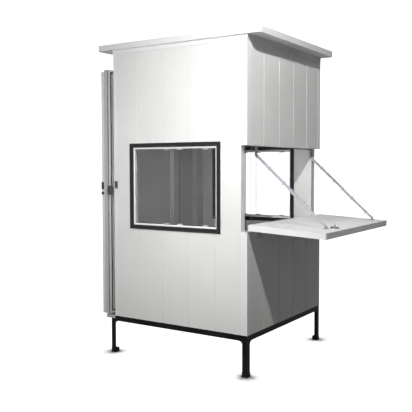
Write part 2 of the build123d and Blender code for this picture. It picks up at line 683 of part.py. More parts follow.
for name, place in stay_places:
    shift = Vector(0, place, 0)
    with BuildPart() as upper_link:
        stay_bar(upper_pivot + shift, stay_direction, upper_link_length, upper_layer,
                 (0, upper_link_length))
    upper_link.part.label = f"{name}_stay_upper_link"
    export_step(upper_link.part, f"parts/{name}_stay_upper_link.step")

    # The knee rivet stays on the lower bar and stops just short of the upper one.
    knee = lower_pivot + shift - stay_direction * lower_link_length
    knee_plane = Plane(origin=knee, x_dir=(1, 0, 0), z_dir=(0, 1, 0))
    with BuildPart() as lower_link:
        stay_bar(lower_pivot + shift, stay_direction * -1, lower_link_length, lower_layer, (0,))
        disc(pin_centre, stay_pin_radius, (lower_layer[1], upper_layer[0] - knuckle_gap), knee_plane)
        disc(pin_centre, stay_head_radius, (lower_layer[0] - stay_head_thickness, lower_layer[0]), knee_plane)
    lower_link.part.label = f"{name}_stay_lower_link"
    export_step(lower_link.part, f"parts/{name}_stay_lower_link.step")

# ---- Pivot places and coupling ratios ------------------------------------

shut_turn = 90.0 + flap_droop
stay_slope = degrees(atan2(-stay_vector.Z, stay_vector.X))
shut_knee_x = upper_link_length * sin(radians(stay_shut_swing))
shut_knee_drop = upper_link_length * swing_cosine - shut_drop
lower_shut_swing = degrees(atan2(shut_knee_x, shut_knee_drop))
print("wall_left", wall_left, "wall_right", wall_right)
print("door pivot", door_hinge_x, door_hinge_y, "ajar", door_ajar)
print("flap pivot", flap_axis_x, flap_axis_z, "turn to shut", shut_turn)
print("upper stay pivot", upper_pivot.X, upper_pivot.Z, "link", upper_link_length)
print("lower stay pivot", lower_pivot.X, lower_pivot.Z, "link", lower_link_length)
print("upper link turn", -(90.0 + stay_shut_swing - stay_slope))
print("lower link turn", 90.0 + stay_slope - lower_shut_swing - shut_turn)
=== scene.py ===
"""Finishes, fasteners, seals and small fittings of a guard booth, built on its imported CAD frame."""
import json
import logging
import math
from dataclasses import dataclass, field
from enum import Enum

import bmesh
import bpy
from mathutils import Matrix, Vector


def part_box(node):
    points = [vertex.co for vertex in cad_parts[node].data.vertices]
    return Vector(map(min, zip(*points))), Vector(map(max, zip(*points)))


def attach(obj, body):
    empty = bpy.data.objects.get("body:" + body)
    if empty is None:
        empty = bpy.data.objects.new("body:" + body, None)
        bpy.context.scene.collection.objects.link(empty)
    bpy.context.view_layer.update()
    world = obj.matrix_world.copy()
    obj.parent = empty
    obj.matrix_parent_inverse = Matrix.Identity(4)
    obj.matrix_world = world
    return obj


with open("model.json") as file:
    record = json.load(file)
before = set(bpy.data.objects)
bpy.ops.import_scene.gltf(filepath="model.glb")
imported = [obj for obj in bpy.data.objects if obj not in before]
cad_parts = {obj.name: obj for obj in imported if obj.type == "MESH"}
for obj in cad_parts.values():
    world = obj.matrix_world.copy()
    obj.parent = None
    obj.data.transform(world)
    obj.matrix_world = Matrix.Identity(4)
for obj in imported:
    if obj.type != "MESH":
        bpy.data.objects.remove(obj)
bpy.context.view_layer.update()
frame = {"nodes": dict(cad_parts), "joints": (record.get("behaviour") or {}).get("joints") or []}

logging.basicConfig(level=logging.INFO, format="%(message)s")
log = logging.getLogger("guard_booth")

Colour = tuple[float, float, float]
Profile = list[tuple[float, float]]
Socket = bpy.types.NodeSocket
Sockets = bpy.types.NodeInputs | bpy.types.NodeOutputs
Feed = Socket | float | tuple
X, Y, Z = Vector((1, 0, 0)), Vector((0, 1, 0)), Vector((0, 0, 1))


class Body(Enum):
    """The moving bodies of the booth."""

    BOOTH = "booth"
    DOOR = "door"
    FLAP = "flap"


class Side(Enum):
    """The two window walls, with the sign of their outward direction along Y."""

    FRONT = -1
    REAR = 1


# ---- Node trees ------------------------------------------------------------


class Graph:
    """Short calls for the nodes that the finishes and the shared effects use."""

    def __init__(self, tree: bpy.types.NodeTree) -> None:
        """Starts on a node tree.

        Args:
            tree: The tree that gets the nodes.
        """
        self.tree = tree

    def node(self, kind: str, inputs: dict | None = None, **settings) -> bpy.types.Node:
        """Adds a node.

        Args:
            kind: Its type name without the ShaderNode prefix.
            inputs: Values or sockets for its inputs, by name or number.
            **settings: Its own properties.

        Returns:
            The new node.
        """
        made = self.tree.nodes.new("ShaderNode" + kind)
        for name, value in settings.items():
            setattr(made, name, value)
        for name, value in (inputs or {}).items():
            self.put(made.inputs[name], value)
        return made

    def put(self, socket: Socket, value: Feed) -> None:
        """Links an output to a socket, or sets the socket's own value.

        Args:
            socket: The input to fill.
            value: A socket to link, or a value to set.
        """
        if isinstance(value, Socket):
            self.tree.links.new(value, socket)
        else:
            socket.default_value = value

    def math(self, operation: str, first: Feed, second: Feed) -> Socket:
        """A sum, product or other value of two inputs."""
        return self.node("Math", {0: first, 1: second}, operation=operation).outputs[0]

    def span(self, value: Socket, low: float, high: float, to_low: float = 0.0,
             to_high: float = 1.0) -> Socket:
        """Maps low..high to to_low..to_high, held at the ends and eased between them.

        Args:
            value: The value to map.
            low: Where it starts.
            high: Where it ends.
            to_low: What the start becomes.
            to_high: What the end becomes.

        Returns:
            The mapped value.
        """
        made = self.node("MapRange", {"Value": value}, interpolation_type="SMOOTHSTEP")
        ends = {"From Min": low, "From Max": high, "To Min": to_low, "To Max": to_high}
        for name, number in ends.items():
            made.inputs[name].default_value = number
        return made.outputs["Result"]

    def noise(self, vector: Socket, scale: Feed, detail: float = 3.0, rough: float = 0.55) -> Socket:
        """Fractal noise about 0.5."""
        inputs = {"Vector": vector, "Scale": scale, "Detail": detail, "Roughness": rough}
        return self.node("TexNoise", inputs).outputs["Fac"]

    def blend(self, factor: Feed, first: Feed, second: Feed) -> Socket:
        """Mixes two colours by a factor.

        Args:
            factor: How much of the second shows.
            first: The first colour.
            second: The second colour.

        Returns:
            The mixed colour.
        """
        made = self.node("Mix", data_type="RGBA")
        self.put(made.inputs[0], factor)
        self.put(made.inputs[6], first)
        self.put(made.inputs[7], second)
        return made.outputs[2]

    def layer(self, base: Feed, mask: Socket, share: float, colour: Colour) -> Socket:
        """Lays a colour over a base where a mask is up, by a share of the mask."""
        return self.blend(self.math("MULTIPLY", mask, share), base, (*colour, 1.0))

    def bump(self, height: Socket, strength: float, distance: float, normal: Socket | None = None) -> Socket:
        """A normal raised by a height, over another normal where one is given.

        Args:
            height: The height over the surface.
            strength: How strongly it shows.
            distance: The height of one unit, in metres.
            normal: A normal to start from.

        Returns:
            The new normal.
        """
        made = self.node("Bump", {"Height": height, "Strength": strength, "Distance": distance})
        if normal:
            self.put(made.inputs["Normal"], normal)
        return made.outputs["Normal"]

    def place(self, stretch: tuple[float, float, float] = (1, 1, 1)) -> Socket:
        """The point on the piece, in metres of the booth's own frame, stretched."""
        coords = self.node("TexCoord").outputs["Object"]
        return self.node("Mapping", {"Vector": coords, "Scale": stretch}).outputs["Vector"]


def rgba(colour: Colour) -> tuple[float, float, float, float]:
    """A colour with full alpha."""
    return (*colour, 1.0)


class SharedEffect:
    """An effect kept as one shader node group and placed in many finishes."""

    name: str = ""
    sockets: tuple[tuple[str, str, str, float], ...] = ()

    def group(self) -> bpy.types.NodeTree:
        """Finds the group, or makes it on first use.

        Returns:
            The node group with its inputs and outputs.
        """
        found = bpy.data.node_groups.get(self.name)
        if found:
            return found
        tree = bpy.data.node_groups.new(self.name, "ShaderNodeTree")
        for label, direction, kind, value in self.sockets:
            socket = tree.interface.new_socket(label, in_out=direction, socket_type="NodeSocket" + kind)
            if direction == "INPUT" and kind == "Float":
                socket.default_value = value
        graph = Graph(tree)
        entry = tree.nodes.new("NodeGroupInput")
        leave = tree.nodes.new("NodeGroupOutput")
        self.wire(graph, entry.outputs, leave.inputs)
        return tree

    def wire(self, graph: Graph, given: Sockets, out: Sockets) -> None:
        """Fills the group; each effect has its own wiring."""
        raise NotImplementedError

    def put_in(self, graph: Graph, **values) -> bpy.types.Node:
        """Places the group in a finish.

        Args:
            graph: The finish's node tree.
            **values: Input values or sockets; underscores stand for spaces.

        Returns:
            The group node.
        """
        made = graph.node("Group", node_tree=self.group())
        for label, value in values.items():
            graph.put(made.inputs[label.replace("_", " ")], value)
        return made


class EdgeWear(SharedEffect):
    """Rounded edges, and a broken mask along them where paint thins."""

    name = "edge_wear"
    sockets = (
        ("Radius", "INPUT", "Float", 0.002),
        ("Breakup", "INPUT", "Float", 60.0),
        ("Edge", "OUTPUT", "Float", 0.0),
        ("Normal", "OUTPUT", "Vector", 0.0),
    )

    def wire(self, graph: Graph, given: Sockets, out: Sockets) -> None:
        """Compares the rounded normal with the true one.

        Args:
            graph: The node tree to build in.
            given: The group's own inputs.
            out: The outputs to fill.
        """
        rounded = graph.node("Bevel", {"Radius": given["Radius"]}, samples=4).outputs["Normal"]
        true = graph.node("NewGeometry").outputs["True Normal"]
        same = graph.node("VectorMath", {0: rounded, 1: true}, operation="DOT_PRODUCT").outputs["Value"]
        bend = graph.span(same, 0.995, 0.80)
        broken = graph.span(graph.noise(graph.place(), given["Breakup"], 4.0, 0.65), 0.42, 0.62)
        graph.put(out["Edge"], graph.math("MULTIPLY", bend, broken))
        graph.put(out["Normal"], rounded)


class Weathering(SharedEffect):
    """Slow mottling, soil near the ground, rain streaks and dust on upward faces."""

    name = "weathering"
    sockets = (
        ("Scale", "INPUT", "Float", 1.0),
        ("Mottle", "OUTPUT", "Float", 0.0),
        ("Soil", "OUTPUT", "Float", 0.0),
        ("Streaks", "OUTPUT", "Float", 0.0),
        ("Dust", "OUTPUT", "Float", 0.0),
    )

    def wire(self, graph: Graph, given: Sockets, out: Sockets) -> None:
        """Builds the four masks from noise, height and slope.

        Args:
            graph: The node tree to build in.
            given: The group's own inputs.
            out: The outputs to fill.
        """
        coords = graph.node("TexCoord").outputs["Object"]
        point = graph.node("VectorMath", {0: coords, "Scale": given["Scale"]}, operation="SCALE").outputs[0]
        slow = graph.noise(point, 2.2, 4.0, 0.6)
        fine = graph.noise(point, 90.0, 3.0, 0.7)
        mixed = graph.math("ADD", graph.math("MULTIPLY", slow, 0.75), graph.math("MULTIPLY", fine, 0.25))
        graph.put(out["Mottle"], graph.span(mixed, 0.32, 0.68))
        height = graph.node("SeparateXYZ", {"Vector": coords}).outputs["Z"]
        low = graph.span(height, 0.75, 0.22)
        graph.put(out["Soil"], graph.math("MULTIPLY", low, graph.span(slow, 0.30, 0.72)))
        drawn = graph.node("Mapping", {"Vector": coords, "Scale": (34.0, 34.0, 1.1)}).outputs["Vector"]
        streak = graph.span(graph.noise(drawn, 1.0, 4.0, 0.6), 0.52, 0.80)
        graph.put(out["Streaks"], graph.math("MULTIPLY", streak, graph.span(slow, 0.35, 0.65)))
        normal = graph.node("NewGeometry").outputs["Normal"]
        facing = graph.node("SeparateXYZ", {"Vector": normal}).outputs["Z"]
        specks = graph.span(graph.noise(point, 26.0, 5.0, 0.7), 0.36, 0.70)
        graph.put(out["Dust"], graph.math("MULTIPLY", graph.span(facing, 0.35, 0.95), specks))


class SheetRelief(SharedEffect):
    """Height of thin painted sheet: slow waves between the joints and a fine peel."""

    name = "sheet_relief"
    sockets = (
        ("Waves", "INPUT", "Float", 1.0),
        ("Peel", "INPUT", "Float", 1.0),
        ("Height", "OUTPUT", "Float", 0.0),
    )

    def wire(self, graph: Graph, given: Sockets, out: Sockets) -> None:
        """Adds long upright waves to a fine grain.

        Args:
            graph: The node tree to build in.
            given: The group's own inputs.
            out: The outputs to fill.
        """
        long_waves = graph.noise(graph.place((4.5, 4.5, 1.4)), 1.0, 2.0, 0.4)
        grain = graph.noise(graph.place(), 650.0, 2.0, 0.5)
        waves = graph.math("MULTIPLY", long_waves, given["Waves"])
        peel = graph.math("MULTIPLY", graph.math("MULTIPLY", grain, given["Peel"]), 0.02)
        graph.put(out["Height"], graph.math("ADD", waves, peel))


EDGE_WEAR, WEATHERING, SHEET_RELIEF = EdgeWear(), Weathering(), SheetRelief()


# ---- Finishes --------------------------------------------------------------

SOIL_BROWN: Colour = (0.46, 0.43, 0.38)
STREAK_GREY: Colour = (0.50, 0.49, 0.46)
ROOF_DUST: Colour = (0.58, 0.56, 0.52)
RUBBED_PAINT: Colour = (0.62, 0.63, 0.64)
BARE_STEEL: Colour = (0.24, 0.23, 0.22)


class Finish:
    """A finish that builds its own material once."""

    name: str

    def material(self) -> bpy.types.Material:
        """Finds or builds the material.

        Returns:
            The material under this finish's name.
        """
        found = bpy.data.materials.get(self.name)
        if found:
            return found
        made = bpy.data.materials.new(self.name)
        made.use_nodes = True
        made.node_tree.nodes.clear()
        graph = Graph(made.node_tree)
        shader = graph.node("BsdfPrincipled")
        output = graph.node("OutputMaterial")
        graph.put(output.inputs["Surface"], self.seen(graph, shader.outputs["BSDF"]))
        self.wire(graph, shader.inputs)
        return made

    def aged(self, graph: Graph, radius: float, breakup: float, scale: float = 1.0) -> tuple:
        """Places the edge wear and the weathering, and gives the outputs of both."""
        wear = EDGE_WEAR.put_in(graph, Radius=radius, Breakup=breakup).outputs
        return wear, WEATHERING.put_in(graph, Scale=scale).outputs

    def seen(self, graph: Graph, shader: Socket) -> Socket:
        """What the surface shows of its shader; all of it, unless a finish says otherwise."""
        return shader

    def wire(self, graph: Graph, surface: Sockets) -> None:
        """Connects the shader's inputs; each finish has its own wiring."""
        raise NotImplementedError


@dataclass(frozen=True)
class BakedPaint(Finish):
    """White baked paint on thin steel sheet."""

    name: str
    colour: Colour
    roughness: float = 0.38
    soil: float = 0.25
    waves: float = 1.0
    edge_radius: float = 0.0015
    dust: float = 0.2
    coat: float = 0.25
    # A darker colour for faces turned to -Y, as painted shade; None leaves them plain.
    painted_shade_edge: Colour | None = None

    def wire(self, graph: Graph, surface: Sockets) -> None:
        """Mottled paint, soiled low down, on sheet that is not quite flat.

        Args:
            graph: The node tree to build in.
            surface: The shader's inputs.
        """
        wear, weather = self.aged(graph, self.edge_radius, 45.0)
        shade = tuple(c * 0.93 for c in self.colour)
        base = graph.blend(weather["Mottle"], rgba(shade), rgba(self.colour))
        base = graph.layer(base, weather["Soil"], self.soil, SOIL_BROWN)
        base = graph.layer(base, weather["Streaks"], self.soil * 0.35, STREAK_GREY)
        dust = graph.math("MULTIPLY", weather["Dust"], self.dust)
        base = graph.blend(dust, base, rgba(ROOF_DUST))
        # Faces turned to -Y, the door leaf's free edge, take a darker grey: painted shade standing for the shade that
        # falls on that edge.
        if self.painted_shade_edge:
            normal = graph.node("TexCoord").outputs["Normal"]
            facing = graph.node("SeparateXYZ", {"Vector": normal}).outputs["Y"]
            base = graph.blend(graph.span(facing, -0.80, -0.98), base, rgba(self.painted_shade_edge))
        graph.put(surface["Base Color"], graph.layer(base, wear["Edge"], 0.30, RUBBED_PAINT))
        rough = graph.span(weather["Mottle"], 0.0, 1.0, self.roughness + 0.07, self.roughness)
        graph.put(surface["Roughness"], graph.math("ADD", rough, graph.math("MULTIPLY", dust, 0.4)))
        relief = SHEET_RELIEF.put_in(graph, Waves=self.waves, Peel=0.6).outputs["Height"]
        graph.put(surface["Normal"], graph.bump(relief, 0.5, 0.0022, wear["Normal"]))
        surface["Coat Weight"].default_value = self.coat
        surface["Coat Roughness"].default_value = 0.18


@dataclass(frozen=True)
class BlackFramePaint(Finish):
    """Brushed-on black satin paint over rolled angle iron."""

    name: str = "black_frame_paint"
    colour: Colour = (0.005, 0.005, 0.007)
    worn_colour: Colour = (0.009, 0.009, 0.011)

    def wire(self, graph: Graph, surface: Sockets) -> None:
        """Scuffed black with dust on the ledges and bare steel on the corners.

        Args:
            graph: The node tree to build in.
            surface: The shader's inputs.
        """
        wear, weather = self.aged(graph, 0.0022, 38.0, 2.0)
        base = graph.blend(weather["Mottle"], rgba(self.colour), rgba(self.worn_colour))
        dust = graph.math("MULTIPLY", weather["Dust"], 0.20)
        base = graph.blend(dust, base, rgba((0.20, 0.185, 0.16)))
        base = graph.layer(base, weather["Soil"], 0.06, (0.13, 0.11, 0.09))
        graph.put(surface["Base Color"], graph.layer(base, wear["Edge"], 0.25, BARE_STEEL))
        surface["Specular IOR Level"].default_value = 0.10
        graph.put(surface["Metallic"], graph.math("MULTIPLY", wear["Edge"], 0.5))
        rough = graph.span(weather["Mottle"], 0.0, 1.0, 0.34, 0.52)
        graph.put(surface["Roughness"], graph.math("ADD", rough, graph.math("MULTIPLY", dust, 0.5)))
        brushed = graph.noise(graph.place((60.0, 60.0, 60.0)), 3.0, 3.0, 0.6)
        graph.put(surface["Normal"], graph.bump(brushed, 0.35, 0.0006, wear["Normal"]))


@dataclass(frozen=True)
class PowderCoat(Finish):
    """Fine-textured powder coat on an aluminium section."""

    name: str
    colour: Colour
    roughness: float = 0.42

    def wire(self, graph: Graph, surface: Sockets) -> None:
        """Fine grain, pale along the arrises.

        Args:
            graph: The node tree to build in.
            surface: The shader's inputs.
        """
        wear, weather = self.aged(graph, 0.0012, 80.0, 3.0)
        pale = tuple(min(1.0, c * 1.35 + 0.004) for c in self.colour)
        base = graph.blend(weather["Mottle"], rgba(self.colour), rgba(pale))
        base = graph.layer(base, weather["Dust"], 0.35, (0.42, 0.40, 0.37))
        graph.put(surface["Base Color"], graph.layer(base, wear["Edge"], 0.5, (0.36, 0.37, 0.38)))
        grain = graph.noise(graph.place(), 900.0, 2.0, 0.6)
        rough = graph.span(grain, 0.3, 0.7, self.roughness - 0.05, self.roughness + 0.08)
        graph.put(surface["Roughness"], rough)
        graph.put(surface["Normal"], graph.bump(grain, 0.3, 0.0003, wear["Normal"]))


@dataclass(frozen=True)
class Moulding(Finish):
    """Moulded plastic or rubber."""

    name: str
    colour: Colour
    roughness: float = 0.5
    dust: float = 0.3

    def wire(self, graph: Graph, surface: Sockets) -> None:
        """Slightly uneven sheen over a fine pebble.

        Args:
            graph: The node tree to build in.
            surface: The shader's inputs.
        """
        wear, weather = self.aged(graph, 0.001, 90.0, 4.0)
        pale = tuple(min(1.0, c * 1.2 + 0.012) for c in self.colour)
        rubbed = tuple(min(1.0, c + 0.12) for c in pale)
        base = graph.blend(weather["Mottle"], rgba(self.colour), rgba(pale))
        base = graph.layer(base, weather["Dust"], self.dust, (0.36, 0.34, 0.31))
        graph.put(surface["Base Color"], graph.layer(base, wear["Edge"], 0.25, rubbed))
        pebble = graph.noise(graph.place(), 1200.0, 2.0, 0.5)
        rough = graph.span(pebble, 0.3, 0.7, self.roughness - 0.06, self.roughness + 0.06)
        graph.put(surface["Roughness"], rough)
        graph.put(surface["Normal"], graph.bump(pebble, 0.25, 0.0002, wear["Normal"]))


@dataclass(frozen=True)
class ZincPlate(Finish):
    """Zinc-plated steel with a faint spangle and rubbed edges."""

    name: str
    colour: Colour = (0.66, 0.66, 0.69)
    roughness: float = 0.34
    metal: float = 0.85

    def wire(self, graph: Graph, surface: Sockets) -> None:
        """Spangled metal, duller in patches.

        Args:
            graph: The node tree to build in.
            surface: The shader's inputs.
        """
        wear, weather = self.aged(graph, 0.0008, 120.0, 6.0)
        cells = graph.node("TexVoronoi", {"Vector": graph.place(), "Scale": 170.0}).outputs["Color"]
        spangle = graph.node("SeparateColor", {"Color": cells}).outputs[0]
        dull = tuple(c * 0.80 for c in self.colour)
        base = graph.blend(graph.span(spangle, 0.0, 1.0), rgba(dull), rgba(self.colour))
        base = graph.layer(base, weather["Mottle"], 0.35, (0.50, 0.50, 0.52))
        graph.put(surface["Base Color"], graph.blend(wear["Edge"], base, rgba((0.86, 0.86, 0.88))))
        surface["Metallic"].default_value = self.metal
        rough = graph.span(spangle, 0.0, 1.0, self.roughness - 0.06, self.roughness + 0.10)
        graph.put(surface["Roughness"], rough)
        graph.put(surface["Normal"], graph.bump(spangle, 0.15, 0.0002, wear["Normal"]))


@dataclass(frozen=True)
class FloatGlass(Finish):
    """Clear sliding panes with a little dust and the haze of wiping."""

    name: str = "float_glass"
    tint: Colour = (0.955, 0.965, 0.965)
    lamplight: Colour = (0.14, 0.145, 0.145)

    def seen(self, graph: Graph, shader: Socket) -> Socket:
        """Lets the lamps shine through the panes into the booth.

        Args:
            graph: The node tree to build in.
            shader: The glass shader.

        Returns:
            The shader, clear to the rays of the lamps.
        """
        clear = graph.node("BsdfTransparent", {"Color": rgba(self.lamplight)})
        path = graph.node("LightPath").outputs["Is Shadow Ray"]
        return graph.node("MixShader", {0: path, 1: shader, 2: clear.outputs[0]}).outputs[0]

    def wire(self, graph: Graph, surface: Sockets) -> None:
        """Keeps a plain transmission and varies only colour and roughness.

        Args:
            graph: The node tree to build in.
            surface: The shader's inputs.
        """
        weather = WEATHERING.put_in(graph, Scale=1.6)
        haze = graph.layer(rgba(self.tint), weather.outputs["Mottle"], 0.10, (0.86, 0.88, 0.88))
        graph.put(surface["Base Color"], haze)
        arcs = graph.noise(graph.place((9.0, 9.0, 3.0)), 1.4, 4.0, 0.6)
        graph.put(surface["Roughness"], graph.span(arcs, 0.45, 0.75, 0.0, 0.05))
        surface["Transmission Weight"].default_value = 1.0
        surface["IOR"].default_value = 1.48


@dataclass(frozen=True)
class FloorPlate(Finish):
    """Grey floor plate with a raised lozenge tread."""

    name: str = "floor_plate"

    def wave(self, graph: Graph, lean: int) -> Socket:
        """One set of slanting waves, leaning by the sign given."""
        inputs = {"Vector": graph.place((lean, 1, 0)), "Scale": 9.0}
        return graph.node("TexWave", inputs, bands_direction="DIAGONAL").outputs["Fac"]

    def wire(self, graph: Graph, surface: Sockets) -> None:
        """Worn tread with soil between the lozenges.

        Args:
            graph: The node tree to build in.
            surface: The shader's inputs.
        """
        weather = WEATHERING.put_in(graph, Scale=2.5)
        ridge = graph.span(self.wave(graph, 1), 0.6, 0.95)
        tread = graph.math("MULTIPLY", ridge, graph.span(self.wave(graph, -1), 0.2, 0.6))
        base = graph.blend(tread, rgba((0.10, 0.10, 0.105)), rgba((0.22, 0.22, 0.23)))
        base = graph.layer(base, weather.outputs["Mottle"], 0.4, (0.15, 0.14, 0.13))
        graph.put(surface["Base Color"], base)
        graph.put(surface["Roughness"], graph.span(tread, 0.0, 1.0, 0.65, 0.38))
        graph.put(surface["Normal"], graph.bump(tread, 1.0, 0.001))


@dataclass(frozen=True)
class MillSheet(Finish):
    """Mill-finish folded sheet, scratched along its length by shoes."""

    name: str = "mill_sheet"

    def wire(self, graph: Graph, surface: Sockets) -> None:
        """Draws scratches along Y over a rolled grain.

        Args:
            graph: The node tree to build in.
            surface: The shader's inputs.
        """
        wear, weather = self.aged(graph, 0.0012, 70.0, 3.0)
        grain = graph.noise(graph.place((220.0, 9.0, 220.0)), 1.0, 4.0, 0.6)
        drawn = graph.span(grain, 0.35, 0.7)
        base = graph.blend(drawn, rgba((0.52, 0.53, 0.54)), rgba((0.74, 0.75, 0.76)))
        graph.put(surface["Base Color"], graph.layer(base, weather["Dust"], 0.5, (0.30, 0.28, 0.25)))
        surface["Metallic"].default_value = 0.8
        graph.put(surface["Roughness"], graph.span(grain, 0.3, 0.7, 0.30, 0.48))
        graph.put(surface["Normal"], graph.bump(grain, 0.2, 0.0002, wear["Normal"]))


WALL_PAINT = BakedPaint("wall_paint", (0.80, 0.80, 0.79))
# The door's paint has a darker grey on its free edge, as painted shade.
DOOR_PAINT = BakedPaint("door_paint", (0.80, 0.80, 0.79), painted_shade_edge=(0.54, 0.53, 0.52))
ROOF_PAINT = BakedPaint("roof_paint", (0.80, 0.80, 0.79), dust=0.55, soil=0.1)
TRIM_PAINT = BakedPaint("trim_paint", (0.84, 0.84, 0.84), roughness=0.30, waves=0.2, edge_radius=0.001)
# The flap uses the walls' paint made lighter and less dusty: painted light, standing for its top looking brighter under
# the lamps.
FLAP_PAINT_WITH_PAINTED_LIGHT = BakedPaint("flap_paint_with_painted_light", (0.90, 0.90, 0.90), roughness=0.46, dust=0.05, waves=0.6, coat=0.0)
STRIP_PAINT = BakedPaint("strip_paint", (0.79, 0.79, 0.83), roughness=0.32, waves=0.2)
BLACK_FRAME = BlackFramePaint()
CHARCOAL = PowderCoat("charcoal_frame", (0.012, 0.0125, 0.012), 0.5)
WHITE_RIM = PowderCoat("white_rim", (0.93, 0.93, 0.93), 0.28)
GLASS = FloatGlass()
ZINC = ZincPlate("zinc_plate")
STAY_ZINC = ZincPlate("stay_zinc", (0.50, 0.49, 0.56), 0.42, 0.20)
BLACK_MOULDING = Moulding("black_moulding", (0.016, 0.016, 0.017))
GREY_FITTING = Moulding("grey_fitting", (0.060, 0.058, 0.056), 0.42, 0.1)
SLEEVE = Moulding("stay_sleeve", (0.36, 0.355, 0.40), 0.5, 0.1)
GASKET_GREY = Moulding("gasket_grey", (0.19, 0.186, 0.178), 0.6, 0.1)
RUBBER = Moulding("seal_rubber", (0.020, 0.020, 0.020), 0.62)
SEALANT = Moulding("sealant", (0.74, 0.74, 0.72), 0.45, 0.15)
STRIP_PLASTIC = Moulding("strip_plastic", (0.30, 0.30, 0.31), 0.4, 0.1)
CLIP_PLASTIC = Moulding("clip_plastic", (0.62, 0.63, 0.65), 0.3, 0.1)
FLOOR = FloorPlate()
MILL = MillSheet()

FINISHED_NODES: tuple[tuple[Finish, str], ...] = (
    (BLACK_FRAME, "base_rail_front base_rail_rear base_rail_left base_rail_right base_legs foot_caps"),
    (GREY_FITTING, "door_handle door_hasp strike_plate"),
    (WALL_PAINT, "front_wall rear_wall hatch_lower_wall hatch_upper_wall door_side_wall door_head_wall"),
    (TRIM_PAINT, "corner_trims top_trims hatch_caps roof_edge_trim flap_edge_trim"),
    (CHARCOAL, "front_window_frame rear_window_frame"),
    (WHITE_RIM, "front_window_rim rear_window_rim"),
    (GLASS, "front_window_glass rear_window_glass"),
    (ZINC, "door_hinge_plates door_hinge_leaves flap_hinge_leaves flap_latch stay_hangers stay_lugs"),
    (STAY_ZINC, "flap_hinge_plates front_stay_upper_link front_stay_lower_link rear_stay_upper_link"),
    (STAY_ZINC, "rear_stay_lower_link"),
    (DOOR_PAINT, "door_leaf"),
    (ROOF_PAINT, "roof_panel"),
    (FLAP_PAINT_WITH_PAINTED_LIGHT, "hatch_flap"),
    (STRIP_PAINT, "door_pull_strip"),
    (FLOOR, "floor_panel"),
    (MILL, "door_sill"),
)
NODE_FINISH: dict[str, Finish] = {name: finish for finish, names in FINISHED_NODES for name in names.split()}


# ---- Meshes ----------------------------------------------------------------


